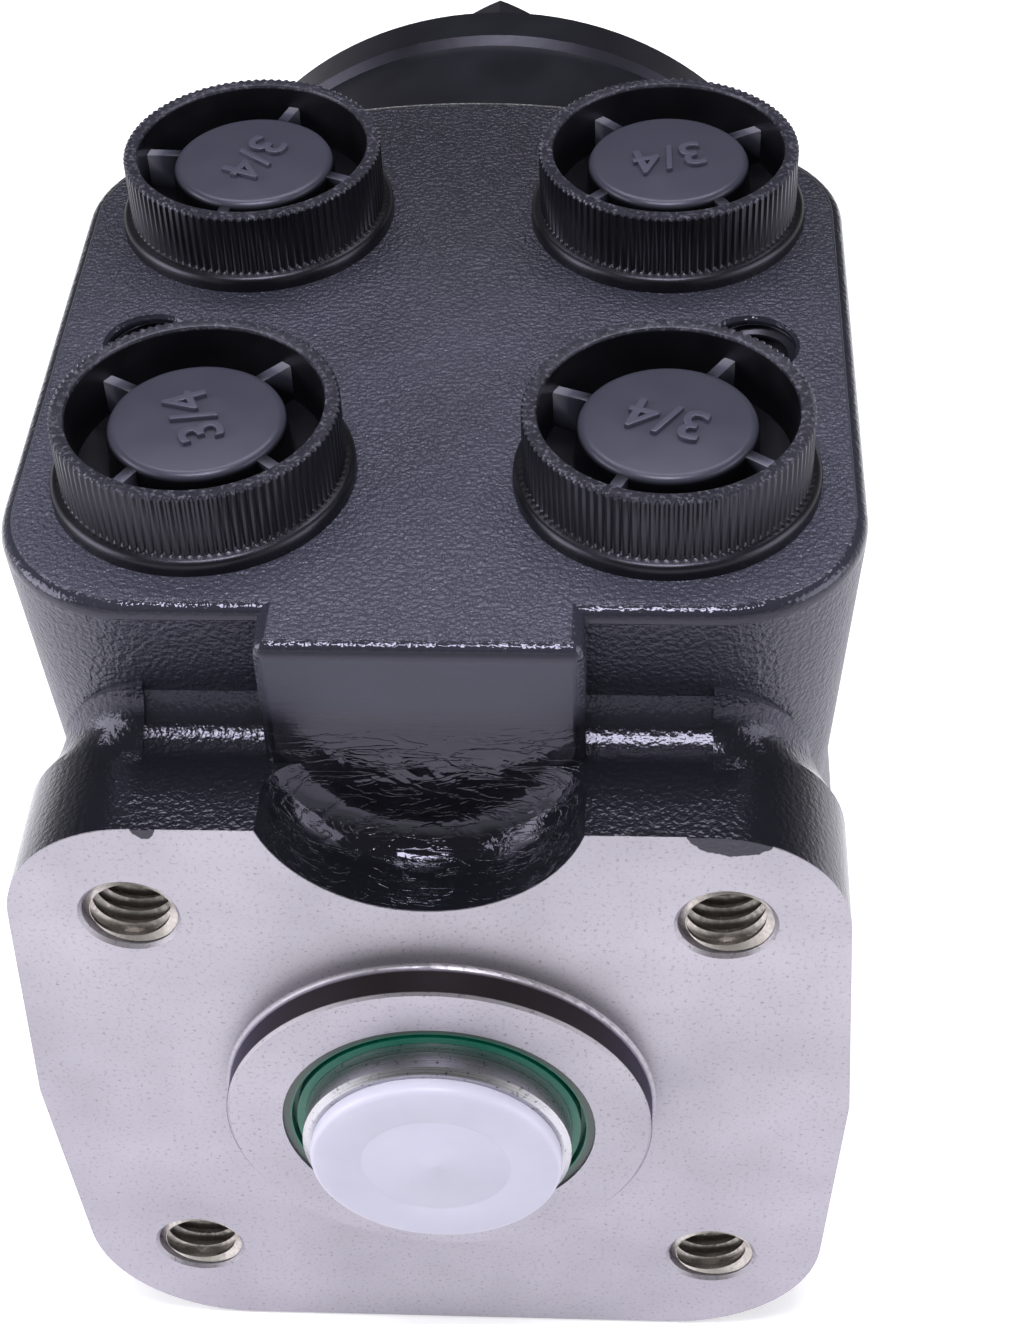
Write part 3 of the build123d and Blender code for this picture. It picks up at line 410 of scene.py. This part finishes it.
def rubber(name, base, shade, ring_start=None):
    """Moulded nitrile rubber: a soft sheen with a fine matt grain, greyed on the seal's outer ring."""
    made, tree, shader, mm = start_material(name)
    grain = add(tree, "ShaderNodeTexNoise", {"Vector": mm, "Scale": 1 / 0.4, "Detail": 3.0})
    colour = add(tree, "ShaderNodeMix", {0: grain, FIRST: base, SECOND: linear(shade)}, MIXED,
                 data_type="RGBA")
    if ring_start:
        ring = add(tree, "ShaderNodeMapRange", (from_axis(tree, mm), ring_start, ring_start + 0.15))
        colour = add(tree, "ShaderNodeMix", {0: ring, FIRST: colour, SECOND: linear("#3c4a45")}, MIXED,
                     data_type="RGBA")
    normal = add(tree, "ShaderNodeBump", {"Strength": 1.0, "Distance": 0.01 * MM, "Height": grain})
    fill(tree, shader, {"Base Color": colour, "Roughness": 0.36, "Normal": normal})
    return made


def plug_plastic(colours):
    """Black low-density polyethylene, moulded: satin, scuffed pale along the rim with a little dust, and
    painted paler on top as sheen and highlight.

    The piece's own scuff attribute says how worn it is. Its other attribute pales it up to 1, with dust on
    the rim and painted sheen on the button and numerals, and up to 2 with a painted highlight on the spokes'
    tops.
    """
    made, tree, shader, mm = start_material("moulded_black_polyethylene")
    worn = add(tree, "ShaderNodeAttribute", out="Fac", attribute_name="scuff")
    # Dust on the rim, painted sheen on the button and numerals, and a painted highlight on the spokes
    dust_and_sheen = add(tree, "ShaderNodeAttribute", out="Fac", attribute_name="dust_and_sheen")
    pores = add(tree, "ShaderNodeTexNoise", {"Vector": mm, "Scale": 1 / 0.45, "Detail": 3.0,
                                             "Roughness": 0.7})
    scuffs = add(tree, "ShaderNodeMapRange", (pores, 0.52, 0.70))
    scuffs = add(tree, "ShaderNodeMath", (scuffs, worn), operation="MULTIPLY")
    # Painted highlight: above 1 the spokes' tops are painted pale, as if lit
    painted_highlight = add(tree, "ShaderNodeMath", (dust_and_sheen, 1.0), operation="SUBTRACT")
    colour = colours.plug
    for mask, tone in ((dust_and_sheen, "#41414f"), (painted_highlight, "#8d8c98"), (scuffs, "#62616c")):
        colour = add(tree, "ShaderNodeMix", {0: mask, FIRST: colour, SECOND: linear(tone)}, MIXED,
                     data_type="RGBA")
    cloud = add(tree, "ShaderNodeTexNoise", {"Vector": mm, "Scale": 1 / 4.0, "Detail": 2.0})
    rough = add(tree, "ShaderNodeMapRange", (cloud, 0.3, 0.7, 0.28, 0.38))
    normal = add(tree, "ShaderNodeBump", {"Strength": 1.0, "Distance": 0.008 * MM, "Height": pores})
    fill(tree, shader, {"Base Color": colour, "Roughness": rough, "Normal": normal,
                        "Specular Tint": ENAMEL_TINT})
    return made


def cap_plastic(colours):
    """Milky natural polyethylene: slightly waxy, and light passes a little way into it."""
    made, tree, shader, mm = start_material("milky_polyethylene")
    cloud = add(tree, "ShaderNodeTexNoise", {"Vector": mm, "Scale": 1 / 6.0, "Detail": 2.0})
    colour = add(tree, "ShaderNodeMix", {0: cloud, FIRST: colours.cap, SECOND: linear("#cecddd")}, MIXED,
                 data_type="RGBA")
    fill(tree, shader, {"Base Color": colour, "Roughness": 0.38, "Subsurface Weight": 0.25,
                        "Subsurface Radius": (1.0, 1.0, 1.2), "Subsurface Scale": 1.0 * MM})
    return made


def thread_steel():
    """Freshly tapped cast iron: pale with a fine darker grain, under a thin film of cutting oil."""
    made, tree, shader, mm = start_material("tapped_cast_iron")
    grain = add(tree, "ShaderNodeTexNoise", {"Vector": mm, "Scale": 1 / 0.5, "Detail": 3.0})
    colour = add(tree, "ShaderNodeMix", {0: grain, FIRST: linear("#d6d0cb"), SECOND: linear("#948e88")},
                 MIXED, data_type="RGBA")
    rough = add(tree, "ShaderNodeMapRange", (grain, 0.3, 0.7, 0.25, 0.42))
    fill(tree, shader, {"Base Color": colour, "Metallic": 1.0, "Roughness": rough})
    return made


def make_piece(name, bm, material, body, place=Matrix(), smooth=35.0):
    """Turns a bmesh drawn in millimetres into a finished piece that rides on a body."""
    bmesh.ops.transform(bm, matrix=Matrix.Scale(MM, 4) @ place, verts=bm.verts)
    mesh = bpy.data.meshes.new(name)
    bm.to_mesh(mesh)
    bm.free()
    mesh.materials.append(material)
    mesh.shade_smooth()
    mesh.set_sharp_from_angle(angle=math.radians(smooth))
    piece = bpy.data.objects.new(name, mesh)
    bpy.context.scene.collection.objects.link(piece)
    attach(piece, body)
    return piece


def draw_line(bm, points):
    """Puts an open line of (radius, height) points into a bmesh, ready to be spun round Z."""
    line = [bm.verts.new((radius, 0, height)) for radius, height in points]
    return line + [bm.edges.new(pair) for pair in zip(line, line[1:])]


def lathe(bm, outline, steps):
    """Spins an outline that starts and ends on the axis into a closed body with its normals outwards."""
    bmesh.ops.spin(bm, geom=draw_line(bm, outline), cent=(0, 0, 0), axis=(0, 0, 1), angle=2 * math.pi,
                   steps=steps, use_merge=True)
    bmesh.ops.remove_doubles(bm, verts=bm.verts, dist=1e-4)
    bmesh.ops.recalc_face_normals(bm, faces=bm.faces)


def thread(bm, root, crest, pitch, top, bottom):
    """An inner thread's flanks and crests as one helical band with a thin wall, cut square at both ends."""
    steps = 40
    turns = math.ceil((top - bottom) / pitch) + 2
    flank = [(root, 0.0), (root, 0.12), (crest, 0.44), (crest, 0.66), (root, 1.0)]
    line = draw_line(bm, [(radius, top + pitch * (1 - share)) for radius, share in flank])
    bmesh.ops.spin(bm, geom=line, cent=(0, 0, 0), axis=(0, 0, 1), angle=2 * math.pi * turns,
                   steps=steps * turns, dvec=(0, 0, -pitch / steps))
    bmesh.ops.remove_doubles(bm, verts=bm.verts, dist=1e-3)
    for height, normal in ((top, (0, 0, 1)), (bottom, (0, 0, -1))):
        bmesh.ops.bisect_plane(bm, geom=bm.verts[:] + bm.edges[:] + bm.faces[:], plane_co=(0, 0, height),
                               plane_no=normal, clear_outer=True)
    bmesh.ops.recalc_face_normals(bm, faces=bm.faces)
    if bm.faces[0].normal.xy.dot(bm.faces[0].calc_center_median().xy) >= 0:
        bmesh.ops.reverse_faces(bm, faces=bm.faces)
    bmesh.ops.solidify(bm, geom=bm.faces[:], thickness=THREAD_WALL)


class UnitSizes(bpy.types.PropertyGroup):
    thread_pitch: FloatProperty(
        name="Thread pitch", description="Pitch of the flange and manifold threads", default=1.5875 * MM,
        min=0.5 * MM, max=4.0 * MM, unit="LENGTH", subtype="DISTANCE")
    thread_root: FloatProperty(
        name="Thread root", description="Root radius of the flange and manifold threads", default=4.70 * MM,
        unit="LENGTH", subtype="DISTANCE")
    thread_crest: FloatProperty(
        name="Thread crest", description="Crest radius of the flange and manifold threads", default=3.93 * MM,
        unit="LENGTH", subtype="DISTANCE")
    rib_count: IntProperty(
        name="Knurl ribs", description="Ribs round a transit plug", default=100, min=20, max=160)
    rib_height: FloatProperty(
        name="Rib height", description="How far a knurl rib stands out", default=0.25 * MM,
        unit="LENGTH", subtype="DISTANCE")
    numeral_height: FloatProperty(
        name="Numeral height", description="Height of the plug numerals", default=6.2 * MM,
        unit="LENGTH", subtype="DISTANCE")
    numeral_relief: FloatProperty(
        name="Numeral relief", description="How far the numerals stand out", default=0.4 * MM,
        unit="LENGTH", subtype="DISTANCE")


class UnitColours(bpy.types.PropertyGroup):
    paint: FloatVectorProperty(
        name="Enamel", description="Black enamel on the casting", size=4, subtype="COLOR",
        default=linear("#0f0f14"))
    overspray: FloatVectorProperty(
        name="Overspray", description="Enamel that dried in the air", size=4, subtype="COLOR",
        default=linear("#3e3e4b"))
    bare_iron: FloatVectorProperty(
        name="Bare iron", description="Machined cast iron", size=4, subtype="COLOR",
        default=linear("#b3afb6"))
    steel: FloatVectorProperty(
        name="Ground steel", description="Spool, sleeve and rotor", size=4, subtype="COLOR",
        default=linear("#b9b8bd"))
    plug: FloatVectorProperty(
        name="Transit plug", description="Black polyethylene", size=4, subtype="COLOR",
        default=linear("#0b0b0e"))
    cap: FloatVectorProperty(
        name="Cap", description="Milky polyethylene", size=4, subtype="COLOR", default=linear("#c3c1d3"))
    seal: FloatVectorProperty(
        name="Shaft seal", description="Green nitrile rubber", size=4, subtype="COLOR",
        default=linear("#0b5a49"))


class UNIT_OT_finishes(bpy.types.Operator):
    """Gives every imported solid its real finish"""
    bl_idname = "steering_unit.finishes"
    bl_label = "Finish the solids"

    def execute(self, context):
        colours = context.scene.steering_unit_colours
        seal = rubber("green_nitrile_rubber", colours.seal, "#0f7158", SEAL_LIP)
        ring = rubber("black_nitrile_rubber", linear("#121212"), "#1c1c1c")
        finishes = (
            (painted_casting(colours), ("housing",)),
            (painted_steel(colours), TURNED_NODES),
            (ground_steel(colours), GROUND_NODES),
            (hardened_steel("hardened_steel", "#b4b3b6", "#8f8d90"), HARDENED_NODES),
            (hardened_steel("blued_spring_steel", "#55586b", "#7b6a58"), ("centring_springs",)),
            (seal, ("shaft_seal",)),
            (ring, ("pressure_seal_ring", "sealing_rings")),
        )
        for material, nodes in finishes:
            for node in nodes:
                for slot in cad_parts[node].material_slots:
                    slot.material = material
        return {"FINISHED"}


class UNIT_OT_root(bpy.types.Operator):
    """Carries the hollow between the port block and the flange round the block's front corners"""
    bl_idname = "steering_unit.root"
    bl_label = "Corner hollows"

    def execute(self, context):
        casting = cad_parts["housing"]
        for name, side in (("left", -1), ("right", 1)):
            bm = bmesh.new()
            self.sweep(bm, casting, side)
            make_piece(f"corner_hollow_{name}", bm, casting.active_material, "casing",
                       smooth=60.0)
        return {"FINISHED"}

    def sweep(self, bm, casting, side):
        """Spins the hollow's section round the block's corner, then shrinks it and lays it on the casting."""
        centre = Vector((*BLOCK_CORNER_CENTRE, 0))
        section = [(HOLLOW * (1 - math.cos(turn)), HOLLOW * (1 - math.sin(turn))) for turn in HOLLOW_ARC]
        section += [(HOLLOW, -HOLLOW_ROOT), (-1, -HOLLOW_ROOT), (-1, HOLLOW)]
        face = bm.faces.new([bm.verts.new(centre + Vector((0, -BLOCK_CORNER - out, height)))
                             for out, height in section])
        bmesh.ops.spin(bm, geom=[face], cent=centre, axis=(0, 0, 1), angle=HOLLOW_TURN, steps=24)
        for vert in bm.verts:
            off = vert.co - centre
            turn = math.atan2(off.x, -off.y)
            share = min((1 - turn / HOLLOW_FADE) ** 0.7, 4 * max(1 - turn / HOLLOW_TURN, 0))
            reach = BLOCK_CORNER + (off.xy.length - BLOCK_CORNER) * share
            vert.co.x = side * (centre.x + reach * math.sin(turn))
            vert.co.y = centre.y - reach * math.cos(turn)
            vert.co.z = self.ground(casting, vert.co) + vert.co.z * share
        bmesh.ops.recalc_face_normals(bm, faces=bm.faces)

    def ground(self, casting, place):
        """The height of the flange's top below a place beside the block."""
        centre = Vector((math.copysign(BLOCK_CORNER_CENTRE[0], place.x), BLOCK_CORNER_CENTRE[1]))
        out = place.xy - centre
        beside = centre + out.normalized() * max(out.length, BLOCK_CORNER + BESIDE)
        hit, spot = casting.ray_cast(Vector((*beside, RAY_START)) * MM, Vector((0, 0, -1)))[:2]
        if not hit:
            raise RuntimeError("the casting doesn't reach under the corner hollow")
        return spot.z / MM


class UNIT_OT_threads(bpy.types.Operator):
    """Cuts the threads of the flange and manifold holes as helical ridges"""
    bl_idname = "steering_unit.threads"
    bl_label = "Hole threads"

    def execute(self, context):
        sizes = context.scene.steering_unit_sizes
        bright, painted = thread_steel(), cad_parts["end_cover"].active_material
        forward = Matrix.Rotation(math.pi / 2, 4, "X")
        holes = {}
        for x_name, side in (("left", -1), ("right", 1)):
            for z_name, rise in (("lower", -1), ("upper", 1)):
                centre = Matrix.Translation((side * FLANGE_HOLE, 0, rise * FLANGE_HOLE))
                holes[f"flange_thread_{z_name}_{x_name}"] = (bright, centre @ forward)
            centre = Matrix.Translation((side * MANIFOLD_HOLE[0], MANIFOLD_HOLE[1], PORT_FACE))
            holes[f"manifold_thread_{x_name}"] = (painted, centre)
        for name, (finish, place) in holes.items():
            bm = bmesh.new()
            thread(bm, sizes.thread_root / MM, sizes.thread_crest / MM, sizes.thread_pitch / MM, *HOLE_SPAN)
            make_piece(name, bm, finish, "casing", place)
        return {"FINISHED"}


class UNIT_OT_plugs(bpy.types.Operator):
    """Moulds the four knurled transit plugs with their spokes and size numerals"""
    bl_idname = "steering_unit.transit_plugs"
    bl_label = "Transit plugs"

    def execute(self, context):
        sizes = context.scene.steering_unit_sizes
        plastic = plug_plastic(context.scene.steering_unit_colours)
        for name, (body, spokes, numerals) in PLUGS.items():
            low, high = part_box(f"port_plug_{name}")
            centre = (low + high) / 2 / MM
            place = Matrix.Translation((centre.x, centre.y, PORT_FACE))
            plug = make_piece(f"transit_plug_{name}", self.moulding(sizes, spokes), plastic, body,
                              place, 40.0)
            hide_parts(f"port_plug_{name}")
            figures = make_piece(f"plug_numerals_{name}", self.numerals(sizes, numerals), plastic, body,
                                 place)
            for piece in (plug, figures):
                self.scuff(piece, centre)
        return {"FINISHED"}

    def moulding(self, sizes, spokes):
        """Rim, floor, button and stub in one spin. Every knurl rib takes four of its steps and lifts two."""
        bm = bmesh.new()
        steps = 4 * sizes.rib_count
        lathe(bm, PLUG_OUTLINE, steps)
        for vert in bm.verts:
            reach = vert.co.xy.length
            count = round(math.atan2(vert.co.y, vert.co.x) * steps / (2 * math.pi)) % 4
            if RIM_OUTER - 0.2 < reach < RIM_OUTER + 0.1 and vert.co.z > RIBS_START and count in (1, 2):
                vert.co.xy *= (reach + sizes.rib_height / MM) / reach
        for index in range(4):
            turn = Matrix.Rotation(math.radians(spokes + 90 * index), 4, "Z")
            bar = bmesh.ops.create_cube(bm, size=1, matrix=turn @ Matrix.Translation(SPOKE_MIDDLE) @
                                        Matrix.Diagonal(SPOKE_SIZE))["verts"]
            top = [vert for vert in bar if vert.co.z > SPOKE_MIDDLE[2]]
            for vert in top:
                if vert.co.xy.length > SPOKE_MIDDLE[0]:
                    vert.co.z -= SPOKE_FALL
            edges = {edge for vert in top for edge in vert.link_edges if edge.other_vert(vert) in top}
            bmesh.ops.bevel(bm, geom=list(edges), offset=0.15, segments=2, profile=0.5, affect="EDGES",
                            material=-1)
        return bm

    def numerals(self, sizes, turn):
        """The port size in plain raised figures across the button."""
        curve = bpy.data.curves.new("numerals", "FONT")
        curve.body = "3/4"
        curve.align_x, curve.align_y = "CENTER", "CENTER"
        curve.size = sizes.numeral_height / MM
        curve.extrude = sizes.numeral_relief / MM
        curve.bevel_depth = 0.10
        curve.space_character = 1.05
        text = bpy.data.objects.new("numerals", curve)
        mesh = bpy.data.meshes.new_from_object(text)
        bm = bmesh.new()
        bm.from_mesh(mesh)
        bmesh.ops.remove_doubles(bm, verts=bm.verts, dist=1e-3)
        place = Matrix.Translation((0, 0, BUTTON_TOP)) @ Matrix.Rotation(math.radians(turn), 4, "Z")
        bmesh.ops.transform(bm, matrix=place, verts=bm.verts)
        bpy.data.objects.remove(text)
        bpy.data.curves.remove(curve)
        bpy.data.meshes.remove(mesh)
        return bm

    def scuff(self, piece, centre):
        """Marks where a plug rubs in the crate, where dust lies on it, and where its tops are painted paler
        as sheen and highlight.
        """
        worn, dust_and_sheen = (piece.data.attributes.new(name, "FLOAT", "POINT") for name in ("scuff", "dust_and_sheen"))
        for vert, mark, film in zip(piece.data.vertices, worn.data, dust_and_sheen.data):
            reach = (vert.co.xy / MM - centre.xy).length
            height = vert.co.z / MM - PORT_FACE
            for near, far, low, high, wear, thickness in PLUG_WEAR.values():
                if near <= reach < far and low < height < high:
                    # The second value is dust on the rim, painted sheen on the button and numerals, and a
                    # painted highlight on the spokes
                    mark.value, film.value = wear, thickness
                    break


class UNIT_OT_cap(bpy.types.Operator):
    """Moulds the milky cap that closes the drive socket"""
    bl_idname = "steering_unit.spool_cap"
    bl_label = "Socket cap"

    def execute(self, context):
        bm = bmesh.new()
        lathe(bm, CAP_OUTLINE, 96)
        place = Matrix.Translation((0, -SPOOL_NOSE, 0)) @ Matrix.Rotation(math.pi / 2, 4, "X")
        cap = make_piece("socket_cap", bm, cap_plastic(context.scene.steering_unit_colours), "spool_cap_body",
                         place, 50.0)
        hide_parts("spool_cap")
        return {"FINISHED"}


class UNIT_OT_stage(bpy.types.Operator):
    """Sets up the pale floor, the soft lamps and the camera"""
    bl_idname = "steering_unit.stage"
    bl_label = "Stage"

    def execute(self, context):
        context.scene.view_settings.view_transform = "Standard"
        self.floor(context)
        self.world(context)
        self.lamps(context)
        self.camera(context)
        return {"FINISHED"}

    def seen(self, tree):
        """1 for the rays that show the background: straight, mirrored or through a clear piece."""
        rays = add(tree, "ShaderNodeLightPath").node.outputs
        seen = add(tree, "ShaderNodeMath", (rays["Is Camera Ray"], rays["Is Glossy Ray"]),
                   operation="MAXIMUM")
        return add(tree, "ShaderNodeMath", (seen, rays["Is Transmission Ray"]), operation="MAXIMUM")

    def floor(self, context):
        bm = bmesh.new()
        bmesh.ops.create_grid(bm, x_segments=4, y_segments=4, size=FLOOR_HALF,
                              matrix=Matrix.Translation((0, 0, FLOOR)))
        mesh = bpy.data.meshes.new("floor")
        bm.to_mesh(mesh)
        bm.free()
        board = bpy.data.objects.new("floor", mesh)
        context.scene.collection.objects.link(board)
        mesh.materials.append(self.board())

    def board(self):
        """Matt white board that keeps the shadow near the unit and runs out into white further off."""
        made, tree, shader, mm = start_material("matt_white_board")
        fill(tree, shader, {"Base Color": linear("#e9e8ec"), "Roughness": 0.9})
        seen = self.seen(tree)
        glow = add(tree, "ShaderNodeMath", (seen, 0.45), operation="MULTIPLY")
        glow = add(tree, "ShaderNodeEmission", {"Color": (1, 1, 1, 1), "Strength": glow})
        near = add(tree, "ShaderNodeAddShader", (shader.outputs[0], glow))
        reach = add(tree, "ShaderNodeVectorMath", (mm,), "Value", operation="LENGTH")
        far = add(tree, "ShaderNodeMapRange", (reach, *FLOOR_FADE))
        far = add(tree, "ShaderNodeMath", (far, seen), operation="MULTIPLY")
        white = add(tree, "ShaderNodeEmission", {"Color": (1, 1, 1, 1), "Strength": 1.0})
        both = add(tree, "ShaderNodeMixShader", (far, near, white))
        tree.links.new(both, tree.nodes["Material Output"].inputs["Surface"])
        return made

    def world(self, context):
        """White to the camera. In mirrored rays it is darker overhead and behind, and as light it is grey."""
        world = bpy.data.worlds.new("studio")
        world.use_nodes = True
        context.scene.world = world
        tree = world.node_tree
        tree.nodes.clear()
        way = add(tree, "ShaderNodeTexCoord", out="Generated")
        _, back, up = add(tree, "ShaderNodeSeparateXYZ", (way,)).node.outputs
        above = add(tree, "ShaderNodeMapRange", (up, 0.05, 0.38, 1.0, 0.12))
        behind = add(tree, "ShaderNodeMapRange", (back, 0.3, 0.85, 1.0, 0.25))
        mirrored = add(tree, "ShaderNodeMath", (above, behind), operation="MULTIPLY")
        straight = add(tree, "ShaderNodeLightPath", out="Is Camera Ray")
        shown = add(tree, "ShaderNodeMath", (straight, mirrored), operation="MAXIMUM")
        level = add(tree, "ShaderNodeMapRange", (self.seen(tree), 0.0, 1.0, 0.42, shown))
        sky = add(tree, "ShaderNodeBackground", {"Color": (1, 1, 1, 1), "Strength": level})
        tree.links.new(sky, tree.nodes.new("ShaderNodeOutputWorld").inputs["Surface"])

    def lamps(self, context):
        for name, (place, width, depth, power) in LAMPS.items():
            lamp = bpy.data.lights.new(name, "AREA")
            lamp.shape = "RECTANGLE"
            lamp.size, lamp.size_y = width, depth
            lamp.energy = power
            lamp.color = linear("#fbfaff")[:3]
            holder = bpy.data.objects.new(name, lamp)
            holder.location = place
            holder.rotation_euler = (LAMP_TARGET - Vector(place)).to_track_quat("-Z", "Y").to_euler()
            context.scene.collection.objects.link(holder)

    def camera(self, context):
        data = bpy.data.cameras.new("camera")
        data.lens, data.sensor_width = LENS, SENSOR
        data.clip_start, data.clip_end = 0.01, 20.0
        camera = bpy.data.objects.new("camera", data)
        level = math.cos(CAMERA_ELEVATION)
        back = Vector((math.sin(CAMERA_AZIMUTH) * level, -math.cos(CAMERA_AZIMUTH) * level,
                       math.sin(CAMERA_ELEVATION)))
        turn = (-back).to_track_quat("-Z", "Y").to_matrix().to_4x4() @ Matrix.Rotation(CAMERA_ROLL, 4, "Z")
        camera.matrix_world = Matrix.Translation(CAMERA_PLACE) @ turn
        context.scene.collection.objects.link(camera)
        context.scene.camera = camera


class UNIT_PT_panel(bpy.types.Panel):
    """Lists the steering unit's sizes, colours and steps in the sidebar"""
    bl_idname = "UNIT_PT_panel"
    bl_label = "Steering unit"
    bl_space_type = "VIEW_3D"
    bl_region_type = "UI"
    bl_category = "Steering unit"

    def draw(self, context):
        for group in (context.scene.steering_unit_sizes, context.scene.steering_unit_colours):
            for name in group.__annotations__:
                self.layout.prop(group, name)
        for step in STEPS:
            self.layout.operator(step.bl_idname)


STEPS = (UNIT_OT_finishes, UNIT_OT_root, UNIT_OT_threads, UNIT_OT_plugs, UNIT_OT_cap, UNIT_OT_stage)
CLASSES = (UnitSizes, UnitColours, *STEPS, UNIT_PT_panel)


def register():
    for kind in CLASSES:
        bpy.utils.register_class(kind)
    bpy.types.Scene.steering_unit_sizes = PointerProperty(type=UnitSizes)
    bpy.types.Scene.steering_unit_colours = PointerProperty(type=UnitColours)


def unregister():
    del bpy.types.Scene.steering_unit_sizes
    del bpy.types.Scene.steering_unit_colours
    for kind in reversed(CLASSES):
        bpy.utils.unregister_class(kind)


def main():
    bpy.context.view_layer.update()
    register()
    bpy.ops.steering_unit.finishes()
    bpy.ops.steering_unit.root()
    bpy.ops.steering_unit.threads()
    bpy.ops.steering_unit.transit_plugs()
    bpy.ops.steering_unit.spool_cap()
    bpy.ops.steering_unit.stage()


if __name__ == "__main__":
    main()
